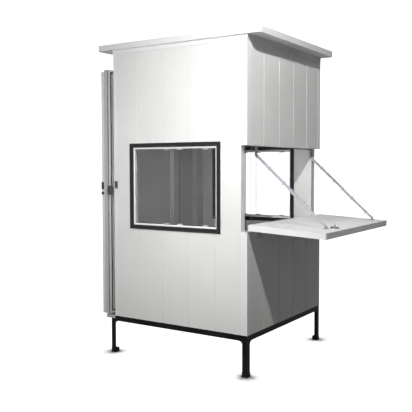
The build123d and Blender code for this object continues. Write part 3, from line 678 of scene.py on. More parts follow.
class Shape:
    """Gathers the faces of one piece, then makes it an object."""

    def __init__(self, name: str) -> None:
        """Starts an empty piece under its name."""
        self.name = name
        self.mesh = bmesh.new()

    def turned(self, profile: Profile, place: Vector, axis: Vector, sides: int = 14) -> None:
        """Adds a turned form.

        Args:
            profile: Pairs of radius and height, from the base to the tip.
            place: Where height zero lies on the axis.
            axis: The direction of rising height.
            sides: The number of faces round it.
        """
        turn = Vector((0, 0, 1)).rotation_difference(axis.normalized()).to_matrix().to_4x4()
        matrix = Matrix.Translation(place) @ turn
        rings = []
        for radius, height in profile:
            if radius < 1e-6:
                rings.append([self.mesh.verts.new(matrix @ Vector((0, 0, height)))])
                continue
            ring = []
            for step in range(sides):
                angle = 2 * math.pi * step / sides
                point = Vector((radius * math.cos(angle), radius * math.sin(angle), height))
                ring.append(self.mesh.verts.new(matrix @ point))
            rings.append(ring)
        for lower, upper in zip(rings, rings[1:]):
            for step in range(sides):
                after = (step + 1) % sides
                if len(upper) == 1:
                    self.mesh.faces.new((lower[step], lower[after], upper[0]))
                elif len(lower) == 1:
                    self.mesh.faces.new((lower[0], upper[after], upper[step]))
                else:
                    self.mesh.faces.new((lower[step], lower[after], upper[after], upper[step]))

    def bar(self, low: Vector, high: Vector, edge: float, matrix: Matrix | None = None) -> None:
        """Adds a bar with rounded edges.

        Args:
            low: Its lowest corner.
            high: Its highest corner.
            edge: The radius of its edges.
            matrix: A turn or move of the finished bar.
        """
        part = bmesh.new()
        bmesh.ops.create_cube(part, size=1.0)
        stretch = Matrix.Translation((high + low) / 2) @ Matrix.Diagonal((*(high - low), 1.0))
        bmesh.ops.transform(part, matrix=stretch, verts=part.verts)
        bmesh.ops.bevel(part, geom=part.edges[:], offset=edge, segments=2, affect="EDGES", profile=0.5)
        if matrix:
            bmesh.ops.transform(part, matrix=matrix, verts=part.verts)
        self.join(part)

    def bead(self, path: list[Vector], radius: float, closed: bool = False, sides: int = 8,
             flat: float = 1.0, out: Vector = Z) -> None:
        """Adds a round or flattened bead along a path with mitred corners.

        Args:
            path: Its corner points.
            radius: Half its width.
            closed: Whether it runs back to its start.
            sides: Faces round it.
            flat: Its height as a share of its width.
            out: The direction that the height is measured in.
        """
        count = len(path)
        rings = []
        for index, point in enumerate(path):
            back = path[index - 1] if closed or index else path[index]
            ahead = path[(index + 1) % count] if closed or index < count - 1 else path[index]
            come = (point - back).normalized() if point != back else (ahead - point).normalized()
            leave = (ahead - point).normalized() if ahead != point else come
            along = (come + leave).normalized()
            stretch = 1.0 / max(0.35, along.dot(leave))
            across = along.cross(out).normalized()
            ring = []
            for step in range(sides):
                angle = 2 * math.pi * step / sides
                wide = across * (radius * stretch * math.cos(angle))
                tall = out * (radius * flat * math.sin(angle))
                ring.append(self.mesh.verts.new(point + (wide + tall)))
            rings.append(ring)
        pairs = list(zip(rings, rings[1:])) + ([(rings[-1], rings[0])] if closed else [])
        for first, second in pairs:
            for step in range(sides):
                after = (step + 1) % sides
                self.mesh.faces.new((first[step], second[step], second[after], first[after]))
        if not closed:
            self.mesh.faces.new(rings[0])
            self.mesh.faces.new(list(reversed(rings[-1])))

    def ring(self, corners: list[Vector], radius: float, flat: float, out: Vector, sides: int = 8) -> None:
        """Adds a closed bead round a set of corners."""
        self.bead(corners, radius, True, sides, flat, out)

    def join(self, part: bmesh.types.BMesh) -> None:
        """Takes over the faces of another mesh.

        Args:
            part: The mesh, which is freed.
        """
        spare = bpy.data.meshes.new("spare")
        part.to_mesh(spare)
        part.free()
        self.mesh.from_mesh(spare)
        bpy.data.meshes.remove(spare)

    def dressed(self, finish: Finish, body: str, slot: str) -> bpy.types.Object:
        """Makes the object, gives it its finish and hangs it on a body.

        Args:
            finish: The finish of the whole piece.
            body: The name of the body that carries it.
            slot: Not used; the record's material slot that it belongs to.

        Returns:
            The finished object.
        """
        bmesh.ops.recalc_face_normals(self.mesh, faces=self.mesh.faces[:])
        data = bpy.data.meshes.new(self.name)
        self.mesh.to_mesh(data)
        self.mesh.free()
        data.materials.append(finish.material())
        made = bpy.data.objects.new(self.name, data)
        bpy.context.scene.collection.objects.link(made)
        for face in data.polygons:
            face.use_smooth = True
        data.set_sharp_from_angle(angle=math.radians(38))
        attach(made, body)
        log.info("%s: %d faces on %s", self.name, len(data.polygons), body)
        return made


def rectangle(low: Vector, high: Vector, first: int, second: int, level: float) -> list[Vector]:
    """The four corners of a rectangle in the plane of two axes, level along the third.

    Args:
        low: The lowest corner.
        high: The highest corner.
        first: The number of the first axis.
        second: The number of the second axis.
        level: The place along the third axis.

    Returns:
        The corners in turn.
    """
    third = 3 - first - second
    corners = []
    for ends in ((low, low), (high, low), (high, high), (low, high)):
        a, b = ends[0][first], ends[1][second]
        point = Vector((0, 0, 0))
        point[first], point[second], point[third] = a, b, level
        corners.append(point)
    return corners


PAN_HEAD: Profile = [(0.0042, 0.0), (0.0042, 0.0006), (0.0036, 0.0018), (0.0022, 0.0026), (0.0, 0.0029)]
RIVET_HEAD: Profile = [(0.0046, 0.0), (0.0044, 0.0008), (0.0034, 0.0018), (0.0014, 0.0023),
                       (0.0012, 0.0012), (0.0, 0.0012)]
LATCH_KNOB: Profile = [(0.0028, 0.0), (0.0028, 0.006), (0.0052, 0.008), (0.0058, 0.012),
                       (0.0040, 0.015), (0.0, 0.016)]


def rivet(shape: Shape, place: Vector, axis: Vector, size: float = 1.0) -> None:
    """Adds a domed blind rivet with its hollow centre."""
    shape.turned([(r * size, h * size) for r, h in RIVET_HEAD], place, axis, 12)


def screw(shape: Shape, place: Vector, axis: Vector, size: float = 1.0) -> None:
    """Adds a pan-head screw on a thin washer."""
    shape.turned([(0.0062 * size, 0.0), (0.0062 * size, 0.0008), (0.0045 * size, 0.0010)], place, axis, 14)
    shape.turned([(r * size, h * size + 0.0008) for r, h in PAN_HEAD], place, axis, 14)


def dress_nodes() -> None:
    """Gives every CAD node its finish."""
    for name, node in frame["nodes"].items():
        material = NODE_FINISH[name].material()
        node.data.materials.clear()
        node.data.materials.append(material)
    log.info("dressed %d CAD nodes", len(frame["nodes"]))


# ---- Sub-assemblies --------------------------------------------------------


@dataclass
class SlidingWindow:
    """Fittings of one sliding window: seals, bead lines, pane clips and edge strips."""

    side: Side
    sealant_radius: float = 0.004
    ridge_radius: float = 0.0022
    clip_width: float = 0.044
    clip_height: float = 0.010
    clip_shares: tuple[float, ...] = (0.39, 0.565, 0.875)
    gasket_radius: float = 0.0022
    ridge_insets: tuple[float, ...] = (0.0065, 0.0240)
    screw_inset: float = 0.016
    strip_width: float = 0.0032
    strip_shares: tuple[float, ...] = (0.455, 0.484)

    def __post_init__(self) -> None:
        """Reads the window's boxes from the CAD."""
        self.label = self.side.name.lower()
        self.frame_low, self.frame_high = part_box(f"{self.label}_window_frame")
        self.rim_low, self.rim_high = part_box(f"{self.label}_window_rim")
        self.glass_low, self.glass_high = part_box(f"{self.label}_window_glass")
        self.out = Y * self.side.value

    def level(self, low: Vector, high: Vector, depth: float) -> float:
        """A place along Y, depth inward from the outer face of a box."""
        return (low.y + depth) if self.side is Side.FRONT else (high.y - depth)

    def build(self) -> None:
        """Builds every fitting of this window."""
        self.seals()
        self.ridges()
        self.clips()
        if self.side is Side.FRONT:
            self.edge_strips()
        self.screws()

    def seals(self) -> None:
        """Sealant round the frame on the wall, and the dark gasket inside the rim."""
        wall_low, wall_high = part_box(f"{self.label}_wall")
        face = wall_low.y if self.side is Side.FRONT else wall_high.y
        shape = Shape(f"{self.label}_window_sealant")
        around = rectangle(self.frame_low, self.frame_high, 0, 2, face)
        shape.ring(around, self.sealant_radius, 0.7, self.out)
        shape.dressed(SEALANT, "booth", "window_rim")
        gasket = Shape(f"{self.label}_window_gasket")
        inset = Vector((0.0012, 0, 0.0012))
        for depth in (-0.0015, 0.0185):
            level = self.level(self.glass_low, self.glass_high, depth)
            around = rectangle(self.glass_low + inset, self.glass_high - inset, 0, 2, level)
            gasket.ring(around, self.gasket_radius, 1.0, self.out, 6)
        gasket.dressed(RUBBER, "booth", "black_fittings")

    def ridges(self) -> None:
        """Two fine ridges run round the face of the dark frame."""
        shape = Shape(f"{self.label}_frame_ridges")
        face = self.level(self.frame_low, self.frame_high, 0.0)
        for inset in self.ridge_insets:
            step = Vector((inset, 0, inset))
            around = rectangle(self.frame_low + step, self.frame_high - step, 0, 2, face)
            shape.ring(around, self.ridge_radius, 0.8, self.out)
        shape.dressed(CHARCOAL, "booth", "window_frame")

    def clips(self) -> None:
        """Small clear clips hold the panes at the head and the sill."""
        shape = Shape(f"{self.label}_pane_clips")
        width = self.glass_high.x - self.glass_low.x
        outer = self.level(self.glass_low, self.glass_high, 0.0)
        inner = self.level(self.glass_low, self.glass_high, 0.012)
        for share, face in zip(self.clip_shares, (inner, outer, outer)):
            middle = self.glass_low.x + share * width
            for low, high in ((self.glass_high.z - self.clip_height, self.glass_high.z - 0.001),
                              (self.glass_low.z + 0.001, self.glass_low.z + self.clip_height)):
                ends = sorted((face + 0.0005 * self.side.value, face + 0.006 * self.side.value))
                shape.bar(Vector((middle - self.clip_width / 2, ends[0], low)),
                          Vector((middle + self.clip_width / 2, ends[1], high)), 0.002)
        shape.dressed(CLIP_PLASTIC, "booth", "window_rim")

    def edge_strips(self) -> None:
        """Slim pale strips down the panes where they overlap."""
        shape = Shape(f"{self.label}_pane_edge_strips")
        width = self.glass_high.x - self.glass_low.x
        face = self.level(self.glass_low, self.glass_high, 0.0)
        ends = sorted((face + 0.0004 * self.side.value, face + 0.0030 * self.side.value))
        for share in self.strip_shares:
            middle = self.glass_low.x + share * width
            shape.bar(Vector((middle - self.strip_width / 2, ends[0], self.glass_low.z + 0.002)),
                      Vector((middle + self.strip_width / 2, ends[1], self.glass_high.z - 0.002)), 0.0008)
        shape.dressed(STRIP_PLASTIC, "booth", "window_rim")

    def screws(self) -> None:
        """Screws in the corners and the middle of the inner flange."""
        shape = Shape(f"{self.label}_frame_screws")
        wall_side = self.level(self.frame_low, self.frame_high, self.frame_high.y - self.frame_low.y)
        low, high, inset = self.frame_low, self.frame_high, self.screw_inset
        for x in (low.x + inset, (low.x + high.x) / 2, high.x - inset):
            for z in (low.z + inset, high.z - inset):
                screw(shape, Vector((x, wall_side, z)), -self.out, 0.8)
        shape.dressed(ZINC, "booth", "galvanised")


@dataclass
class Cladding:
    """Rivets and sealant of the wall flashing."""

    rivet_pitch: float = 0.28
    body: str = Body.BOOTH.value

    def __post_init__(self) -> None:
        """Reads the wall box."""
        self.front_low, self.front_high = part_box("front_wall")
        self.trim_low, self.trim_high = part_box("corner_trims")
        self.top_low, self.top_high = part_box("top_trims")

    def build(self) -> None:
        """Builds the fasteners and seals of the cladding."""
        self.rivets()
        self.seal_lines()

    def heights(self) -> list[float]:
        """Rivet heights between the foot of the wall and the top trim.

        Returns:
            The heights in metres.
        """
        start, end = self.front_low.z + 0.05, self.top_low.z - 0.05
        count = round((end - start) / self.rivet_pitch)
        return [start + (end - start) * step / count for step in range(count + 1)]

    def rivets(self) -> None:
        """Blind rivets down both legs of each corner trim and along the top trims."""
        shape = Shape("cladding_rivets")
        cut_low, cut_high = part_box("hatch_caps")
        for height in self.heights():
            for sign, y in ((-1, self.trim_low.y), (1, self.trim_high.y)):
                rivet(shape, Vector((self.front_low.x + 0.008, y, height)), Y * sign)
                if height < cut_low.z - 0.02 or height > cut_high.z + 0.02:
                    rivet(shape, Vector((self.front_high.x - 0.030, y, height)), Y * sign)
                    rivet(shape, Vector((self.trim_high.x, y - sign * 0.032, height)), X)
        middle = (self.top_low.z + self.top_high.z) / 2 - 0.008
        steps = 5
        for step in range(steps + 1):
            x = self.top_low.x + 0.05 + (self.top_high.x - self.top_low.x - 0.10) * step / steps
            y = self.top_low.y + 0.05 + (self.top_high.y - self.top_low.y - 0.10) * step / steps
            rivet(shape, Vector((x, self.top_low.y, middle)), -Y)
            rivet(shape, Vector((x, self.top_high.y, middle)), Y)
            rivet(shape, Vector((self.top_high.x, y, middle)), X)
            rivet(shape, Vector((self.top_low.x, y, middle)), -X)
        shape.dressed(TRIM_PAINT, self.body, "flashing")

    def seal_lines(self) -> None:
        """A sealant bead under the roof panel."""
        shape = Shape("roof_sealant")
        roof_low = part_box("roof_panel")[0]
        shape.ring(rectangle(self.top_low, self.top_high, 0, 1, roof_low.z - 0.0015), 0.004, 0.7, Z)
        shape.dressed(SEALANT, self.body, "window_rim")


@dataclass
class Roof:
    """Fixings and the sealing bead on top of the roof."""

    screw_pitch: float = 0.24
    rim_inset: float = 0.014
    end_gap: float = 0.04
    bead_inset: float = 0.0255
    bead_radius: float = 0.0035

    def build(self) -> None:
        """Builds the row of screws and the bead along the edge trim."""
        low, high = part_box("roof_edge_trim")
        shape = Shape("roof_screws")
        step_x = round((high.x - low.x) / self.screw_pitch)
        step_y = round((high.y - low.y) / self.screw_pitch)
        span_x, span_y = high.x - low.x - 2 * self.end_gap, high.y - low.y - 2 * self.end_gap
        for step in range(step_x + 1):
            x = low.x + self.end_gap + span_x * step / step_x
            for y in (low.y + self.rim_inset, high.y - self.rim_inset):
                screw(shape, Vector((x, y, high.z)), Z)
        for step in range(1, step_y):
            y = low.y + self.end_gap + span_y * step / step_y
            for x in (low.x + self.rim_inset, high.x - self.rim_inset):
                screw(shape, Vector((x, y, high.z)), Z)
        shape.dressed(ZINC, "booth", "galvanised")
        panel_low, panel_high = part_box("roof_panel")
        bead = Shape("roof_edge_bead")
        inset = Vector((self.bead_inset, self.bead_inset, 0))
        around = rectangle(panel_low + inset, panel_high - inset, 0, 1, panel_high.z + 0.0012)
        bead.ring(around, self.bead_radius, 0.7, Z)
        bead.dressed(SEALANT, "booth", "window_rim")


@dataclass
class Base:
    """Welds of the angle-iron base and the ribs of its feet."""

    collar_half: float = 0.0200
    collar_radius: float = 0.0030
    weld_radius: float = 0.0028
    weld_start: float = 0.001
    weld_end: float = 0.066
    weld_ripple: float = 0.0004

    def build(self) -> None:
        """Builds the weld beads and the foot ribs."""
        low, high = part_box("base_legs")
        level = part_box("base_rail_front")[0].z
        welds = Shape("leg_welds")
        for sx, x in ((1, low.x), (-1, high.x)):
            for sy, y in ((1, low.y), (-1, high.y)):
                beads = (
                    (Vector((x + sx * self.weld_start, y, level)), Vector((x + sx * self.weld_end, y, level)), -Y * sy),
                    (Vector((x, y + sy * self.weld_start, level)), Vector((x, y + sy * self.weld_end, level)), -X * sx),
                )
                for start, end, out in beads:
                    points = [
                        start.lerp(end, step / 9) + Z * (self.weld_ripple if step % 2 else -self.weld_ripple)
                        for step in range(10)
                    ]
                    welds.bead(points, self.weld_radius, False, 6, 0.8, out)
        welds.dressed(BLACK_FRAME, "booth", "base_steel")
        self.foot_ribs(low, high)

    def foot_ribs(self, low: Vector, high: Vector) -> None:
        """A collar round the top of each foot where the leg enters.

        Args:
            low: The lowest corner of the legs.
            high: The highest corner of the legs.
        """
        shape = Shape("foot_collars")
        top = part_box("foot_caps")[1].z
        for sx, x in ((1, low.x), (-1, high.x)):
            for sy, y in ((1, low.y), (-1, high.y)):
                middle = Vector((x + sx * self.collar_half, y + sy * self.collar_half, 0))
                half = Vector((self.collar_half, self.collar_half, 0))
                shape.ring(rectangle(middle - half, middle + half, 0, 1, top), self.collar_radius, 1.0, Z)
        shape.dressed(BLACK_FRAME, "booth", "black_fittings")


@dataclass
class Door:
    """Seals, edge capping, hinge screws and lock details of the door."""

    body: str = Body.DOOR.value
    gasket_width: float = 0.010
    seal_radius: float = 0.0045
    seal_inset: float = 0.022

    def __post_init__(self) -> None:
        """Finds the door's own plane from its hinge joint and its leaf."""
        joint = next(j for j in frame["joints"] if j["name"] == "door_hinge")
        self.pin = Vector(joint["pos_m"])
        self.turn = math.radians(-joint["range_deg"][0])
        self.along = Vector((-math.sin(self.turn), -math.cos(self.turn), 0))
        self.inward = Vector((math.cos(self.turn), -math.sin(self.turn), 0))
        low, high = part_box("door_leaf")
        self.bottom, self.top = low.z, high.z
        leaf = [v.co for v in frame["nodes"]["door_leaf"].data.vertices]
        self.near = min((p - self.pin).dot(self.along) for p in leaf)
        self.far = max((p - self.pin).dot(self.along) for p in leaf)
        self.outer = min((p - self.pin).dot(self.inward) for p in leaf)
        self.inner = max((p - self.pin).dot(self.inward) for p in leaf)

    def at(self, along: float, inward: float, height: float) -> Vector:
        """A point of the row frame from the door's own measures.

        Args:
            along: The distance from the pin toward the free edge.
            inward: The distance toward the room.
            height: The height above the ground.

        Returns:
            The point.
        """
        point = self.pin + self.along * along + self.inward * inward
        point.z = height
        return point

    def build(self) -> None:
        """Builds the door's pieces."""
        self.seal()
        self.edge_gasket()
        self.hinge_screws()
        self.lock()

    def seal(self) -> None:
        """A soft seal round the inner face, pressed on the wall when shut."""
        shape = Shape("door_seal")
        inset = self.seal_inset
        near, far = self.near + inset, self.far - 0.026
        bottom, top = self.bottom + inset, self.top - inset
        corners = ((near, bottom), (far, bottom), (far, top), (near, top))
        path = [self.at(along, self.inner, height) for along, height in corners]
        shape.ring(path, self.seal_radius, 0.8, self.inward)
        shape.dressed(RUBBER, self.body, "black_fittings")

    def edge_gasket(self) -> None:
        """A dark flat gasket down the inner corner of the free edge."""
        shape = Shape("door_edge_gasket")
        turn = Matrix((self.along, self.inward, Z)).transposed().to_4x4()
        turn.translation = Vector((self.pin.x, self.pin.y, 0))
        low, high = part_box("door_hasp")
        for bottom, top in ((self.bottom + 0.004, low.z - 0.002), (high.z + 0.002, self.top - 0.004)):
            shape.bar(Vector((self.far - 0.0005, self.inner - self.gasket_width, bottom)),
                      Vector((self.far + 0.0016, self.inner + 0.0012, top)), 0.0008, turn)
        shape.dressed(GASKET_GREY, self.body, "black_fittings")

    def hinge_screws(self) -> None:
        """Screws through the hinge plates into the wall."""
        shape = Shape("door_hinge_screws")
        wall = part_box("door_side_wall")[0].x
        middle = (self.bottom + self.top) / 2
        reach = self.top - middle - 0.218
        for height in (middle - reach, middle, middle + reach):
            for z in (height - 0.034, height, height + 0.034):
                screw(shape, Vector((wall - 0.003, self.pin.y + 0.033, z)), -X, 0.9)
        shape.dressed(ZINC, Body.BOOTH.value, "galvanised")

    def lock(self) -> None:
        """Screws on the hasp and the strike plate."""
        hasp_low, hasp_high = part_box("door_hasp")
        shape = Shape("hasp_screws")
        for z in (hasp_low.z + 0.016, hasp_high.z - 0.016):
            screw(shape, self.at(self.far + 0.012, self.inner - 0.0045, z), self.along, 0.6)
        shape.dressed(ZINC, self.body, "galvanised")
        strike_low, strike_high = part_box("strike_plate")
        plate = Shape("strike_screws")
        for z in (strike_low.z + 0.008, strike_high.z - 0.008):
            screw(plate, Vector(((strike_low.x + strike_high.x) / 2, strike_low.y, z)), -Y, 0.6)
        plate.dressed(ZINC, Body.BOOTH.value, "galvanised")


@dataclass
class Hatch:
    """Fasteners, seal and latch details of the flap and its opening."""

    body: str = Body.FLAP.value
    screw_pitch: float = 0.19

    def __post_init__(self) -> None:
        """Finds the flap's own plane from its hinge joint and its panel."""
        joint = next(j for j in frame["joints"] if j["name"] == "flap_hinge")
        self.pin = Vector(joint["pos_m"])
        droop = math.radians(joint["range_deg"][1] - 90.0)
        self.along = Vector((math.cos(droop), 0, -math.sin(droop)))
        self.up = Vector((math.sin(droop), 0, math.cos(droop)))
        skin = [v.co for v in frame["nodes"]["flap_edge_trim"].data.vertices]
        self.far = max((p - self.pin).dot(self.along) for p in skin)
        self.top = max((p - self.pin).dot(self.up) for p in skin)
        self.under = min((p - self.pin).dot(self.up) for p in skin)
        self.half = max(p.y for p in skin)

    def at(self, along: float, y: float, up: float) -> Vector:
        """A point of the row frame from the flap's own measures."""
        return self.pin + self.along * along + self.up * up + Y * y

    def build(self) -> None:
        """Builds the hatch's pieces."""
        self.edge_screws()
        self.hinge_screws()
        self.latch()
        self.opening_seal()

    def edge_screws(self) -> None:
        """Small rivets along the flap's edge trim."""
        shape = Shape("flap_rivets")
        middle = (self.top + self.under) / 2
        count = round(2 * self.half / self.screw_pitch)
        for step in range(count + 1):
            y = -self.half + 0.03 + (2 * self.half - 0.06) * step / count
            rivet(shape, self.at(self.far, y, middle), self.along, 0.7)
        for step in range(4):
            distance = 0.05 + (self.far - 0.10) * step / 3
            rivet(shape, self.at(distance, -self.half, middle), -Y, 0.7)
            rivet(shape, self.at(distance, self.half, middle), Y, 0.7)
        shape.dressed(TRIM_PAINT, self.body, "flashing")

    def hinge_screws(self) -> None:
        """Screws of the flap hinges, on the wall plates and under the flap."""
        fixed, moving = Shape("wall_hinge_screws"), Shape("flap_hinge_screws")
        plate_low, plate_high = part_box("flap_hinge_plates")
        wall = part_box("front_wall")[1].x
        reach = plate_high.y - 0.040
        for place in (-reach, 0.0, reach):
            for offset in (-0.026, 0.0, 0.026):
                screw(fixed, Vector((wall + 0.0025, place + offset, plate_low.z + 0.022)), X, 0.7)
                screw(moving, self.at(0.034, place + offset, self.under - 0.0025), -self.up, 0.7)
        fixed.dressed(ZINC, Body.BOOTH.value, "galvanised")
        moving.dressed(ZINC, self.body, "galvanised")

    def latch(self) -> None:
        """Keepers and knob of the barrel latch."""
        low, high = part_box("flap_latch")
        middle = (low.y + high.y) / 2
        start = (Vector((low.x, middle, self.pin.z)) - self.pin).dot(self.along)
        shape = Shape("latch_keepers")
        turn = Matrix.Translation(self.pin) @ Matrix((self.along, Y, self.up)).transposed().to_4x4()
        for offset in (0.010, 0.046):
            shape.bar(Vector((start + offset, middle - 0.009, self.top + 0.004)),
                      Vector((start + offset + 0.009, middle + 0.009, self.top + 0.0135)), 0.0018, turn)
        shape.turned(LATCH_KNOB, self.at(start + 0.032, middle, self.top + 0.010), self.up, 14)
        for along, side in ((0.006, -0.008), (0.006, 0.008), (0.054, -0.008), (0.054, 0.008)):
            screw(shape, self.at(start + along, middle + side, self.top + 0.005), self.up, 0.5)
        shape.dressed(BLACK_MOULDING, self.body, "black_fittings")

    def opening_seal(self) -> None:
        """A soft seal inside the jambs and the lintel for the shut flap."""
        low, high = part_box("hatch_caps")
        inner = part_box("front_wall")[1].y + 0.004
        shape = Shape("hatch_seal")
        bottom, top = low.z + 0.006, high.z - 0.006
        corners = ((inner, bottom), (inner, top), (-inner, top), (-inner, bottom))
        shape.bead([Vector((low.x + 0.0035, y, z)) for y, z in corners], 0.0028, False, 8, 0.9, X)
        shape.dressed(RUBBER, Body.BOOTH.value, "black_fittings")


@dataclass
class Stay:
    """Sleeves on the two bars of one folding stay."""

    label: str
    upper_sleeves: tuple[float, ...] = (0.37, 0.74)
    lower_sleeves: tuple[float, ...] = (0.34, 0.78)
    sleeve_length: float = 0.009
    sleeve_wall: float = 0.0003
    bar_pitch: float = 0.012

    def build(self) -> None:
        """Slips a thin sleeve over each bar in two places."""
        self.sleeves("upper", self.upper_sleeves)
        self.sleeves("lower", self.lower_sleeves)

    def sleeves(self, part: str, shares: tuple[float, ...]) -> None:
        """Builds the sleeves of one bar.

        Args:
            part: Which bar, upper or lower.
            shares: Their places as shares of the bar's length.
        """
        points = [v.co for v in frame["nodes"][f"{self.label}_stay_{part}_link"].data.vertices]
        first, last = max(points, key=lambda p: p.z), min(points, key=lambda p: p.z)
        along = Vector((last.x - first.x, 0, last.z - first.z)).normalized()
        across = Y.cross(along)
        lowest, highest = min(p.dot(along) for p in points), max(p.dot(along) for p in points)
        edges = [p.dot(across) for p in points]
        centre, half = (max(edges) + min(edges)) / 2, (max(edges) - min(edges)) / 2
        front, rear = self.layer(part)
        shape = Shape(f"{self.label}_{part}_sleeves")
        turn = Matrix((along, Y, across)).transposed().to_4x4()
        half += self.sleeve_wall
        for share in shares:
            place = lowest + share * (highest - lowest)
            shape.bar(Vector((place - self.sleeve_length / 2, front - self.sleeve_wall, centre - half)),
                      Vector((place + self.sleeve_length / 2, rear + self.sleeve_wall, centre + half)),
                      0.0007, turn)
        shape.dressed(SLEEVE, f"{self.label}_{part}_link", "black_fittings")

    def layer(self, part: str) -> tuple[float, float]:
        """The two faces of a bar along Y; the head of the knee rivet stands outside them.

        Args:
            part: Which bar, upper or lower.

        Returns:
            Its front and rear face.
        """
        upper_low, upper_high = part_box(f"{self.label}_stay_upper_link")
        if part == "upper":
            return upper_low.y, upper_high.y
        return upper_low.y - self.bar_pitch, upper_high.y - self.bar_pitch


# ---- Studio ----------------------------------------------------------------


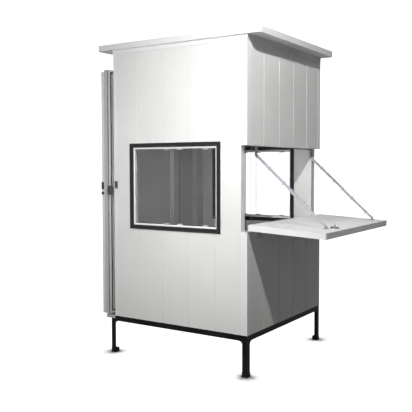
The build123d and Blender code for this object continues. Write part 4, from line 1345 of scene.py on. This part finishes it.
@dataclass
class Studio:
    """Camera, pale floor, key lamp and soft fill."""

    camera_place: Vector = field(default_factory=lambda: Vector((2.6393, -4.4445, 1.4635)))
    yaw: float = 31.97
    pitch: float = -2.45
    roll: float = -0.05
    lens: float = 57.03
    shift: tuple[float, float] = (-0.0568, -0.0284)
    key_place: Vector = field(default_factory=lambda: Vector((1.684, -1.922, 3.415)))
    key_aim: Vector = field(default_factory=lambda: Vector((-0.48, 0.70, -0.62)))
    key_power: float = 282.0
    key_cone: float = 74.0
    backdrop: float = 1.25
    ambient: float = 0.05
    mirrored: float = 0.37
    floor_reach: float = 30.0
    floor_albedo: float = 0.10
    contact_reach: float = 0.20
    contact_dark: float = 0.30

    def build(self) -> None:
        """Sets up camera, floor, lights and world."""
        self.camera()
        self.floor()
        self.lights()
        self.world()

    def camera(self) -> None:
        """Places the camera at the viewing angle."""
        data = bpy.data.cameras.new("camera")
        data.lens, data.sensor_width = self.lens, 36.0
        data.shift_x, data.shift_y = self.shift
        data.clip_end = 100.0
        made = bpy.data.objects.new("camera", data)
        made.location = self.camera_place
        turn = Matrix.Rotation(math.radians(self.yaw), 4, "Z")
        turn @= Matrix.Rotation(math.radians(90 + self.pitch), 4, "X")
        turn @= Matrix.Rotation(math.radians(self.roll), 4, "Z")
        made.rotation_euler = turn.to_euler()
        bpy.context.scene.collection.objects.link(made)
        bpy.context.scene.camera = made
        bpy.context.scene.view_settings.view_transform = "Standard"

    def floor(self) -> None:
        """A wide pale floor that takes only soft contact shadows."""
        data = bpy.data.meshes.new("studio_floor")
        reach = self.floor_reach
        corners = [(-reach, -reach, 0), (reach, -reach, 0), (reach, reach, 0), (-reach, reach, 0)]
        data.from_pydata(corners, [], [(0, 1, 2, 3)])
        made = bpy.data.objects.new("studio_floor", data)
        bpy.context.scene.collection.objects.link(made)
        material = bpy.data.materials.new("studio_floor")
        material.use_nodes = True
        material.node_tree.nodes.clear()
        graph = Graph(material.node_tree)
        path = graph.node("LightPath").outputs
        near = graph.node("AmbientOcclusion", {"Distance": self.contact_reach}, samples=16).outputs["AO"]
        white = graph.span(near, 0.80, 0.995, self.contact_dark, self.backdrop)
        seen = self.looked_at(graph, path)
        shine = graph.node("Mix", {0: seen, 2: self.mirrored, 3: white}).outputs[0]
        glow = graph.node("Emission", {"Color": rgba((1, 1, 1)), "Strength": shine})
        matt = graph.node("BsdfDiffuse", {"Color": rgba((self.floor_albedo,) * 3)})
        scattered = graph.math("GREATER_THAN", path["Diffuse Depth"], 0.5)
        lit = graph.node("MixShader", {0: scattered, 1: glow.outputs[0], 2: matt.outputs[0]})
        graph.put(graph.node("OutputMaterial").inputs["Surface"], lit.outputs[0])
        data.materials.append(material)

    def area(self, name: str, place: Vector, aim: Vector, size: tuple[float, float], power: float) -> None:
        """Adds a soft rectangular light.

        Args:
            name: The light's name.
            place: Where it hangs.
            aim: The point that it faces.
            size: Its width and height.
            power: Its power in watts.
        """
        data = bpy.data.lights.new(name, "AREA")
        data.shape, data.size, data.size_y, data.energy = "RECTANGLE", size[0], size[1], power
        made = bpy.data.objects.new(name, data)
        made.location = place
        made.rotation_euler = (aim - place).to_track_quat("-Z", "Y").to_euler()
        made.visible_camera = made.visible_glossy = False
        bpy.context.scene.collection.objects.link(made)

    def spot(self, name: str, place: Vector, aim: Vector, cone: float, size: float, power: float) -> None:
        """Adds a round lamp with a soft-edged cone.

        Args:
            name: The light's name.
            place: Where it hangs.
            aim: The direction that it shines in.
            cone: The full angle of its cone in degrees.
            size: The radius of the lamp.
            power: Its power in watts.
        """
        data = bpy.data.lights.new(name, "SPOT")
        data.energy, data.shadow_soft_size = power, size
        data.spot_size, data.spot_blend = math.radians(cone), 1.0
        made = bpy.data.objects.new(name, data)
        made.location = place
        made.rotation_euler = aim.to_track_quat("-Z", "Y").to_euler()
        made.visible_glossy = False
        bpy.context.scene.collection.objects.link(made)

    def lights(self) -> None:
        """A near key lamp high on the right, soft fills, and one lamp each for roof and inside."""
        self.spot("key_lamp", self.key_place, self.key_aim, self.key_cone, 0.07, self.key_power)
        self.spot("inner_lamp", Vector((0.24, -0.45, 1.90)), Vector((0.0, 1.0, -0.54)), 58.0, 0.12, 14.5)
        self.spot("roof_lamp", Vector((-0.24, 0.0, 6.0)), Vector((0.0, 0.001, -1.0)), 44.0, 0.30, 170.0)
        self.area("front_fill", Vector((0.5, -4.9, 2.2)), Vector((-0.2, -0.6, 1.5)), (3.0, 2.4), 73.0)
        self.area("window_fill", Vector((0.15, -2.3, 1.52)), Vector((0.15, -0.6, 1.52)), (0.8, 0.5), 15.5)
        self.area("hatch_fill", Vector((3.2, -0.2, 4.0)), Vector((0.38, 0.0, 1.9)), (1.0, 1.0), 6.0)
        self.area("rear_fill", Vector((-0.4, 5.5, 1.5)), Vector((-0.2, 0.6, 1.4)), (3.0, 1.6), 100.0)
        self.area("door_fill", Vector((-6.0, 0.8, 1.4)), Vector((-0.8, 0.0, 1.4)), (2.6, 1.6), 115.0)

    def looked_at(self, graph: Graph, path: Sockets) -> Socket:
        """Whether a ray comes straight from the eye, or through panes without a reflection."""
        straight = graph.math("MAXIMUM", path["Is Camera Ray"], path["Is Transmission Ray"])
        return graph.math("MULTIPLY", straight, graph.math("LESS_THAN", path["Glossy Depth"], 0.5))

    def world(self) -> None:
        """A white surround for the eye and a dimmer one for the light."""
        made = bpy.data.worlds.new("studio")
        bpy.context.scene.world = made
        made.use_nodes = True
        made.node_tree.nodes.clear()
        graph = Graph(made.node_tree)
        path = graph.node("LightPath").outputs
        seen = self.looked_at(graph, path)
        shown = graph.node("Mix", {0: seen, 2: self.mirrored, 3: self.backdrop}).outputs[0]
        scattered = graph.math("GREATER_THAN", path["Diffuse Depth"], 0.5)
        strength = graph.node("Mix", {0: scattered, 2: shown, 3: self.ambient}).outputs[0]
        back = graph.node("Background", {"Color": rgba((1, 1, 1)), "Strength": strength})
        graph.put(graph.node("OutputWorld").inputs["Surface"], back.outputs[0])


def main() -> None:
    """Dresses the frame, builds each sub-assembly and sets up the studio."""
    dress_nodes()
    for side in Side:
        SlidingWindow(side).build()
    for part in (Cladding(), Roof(), Base(), Door(), Hatch(), Stay("front"), Stay("rear"), Studio()):
        part.build()
        log.info("built %s", type(part).__name__)


if __name__ == "__main__":
    main()
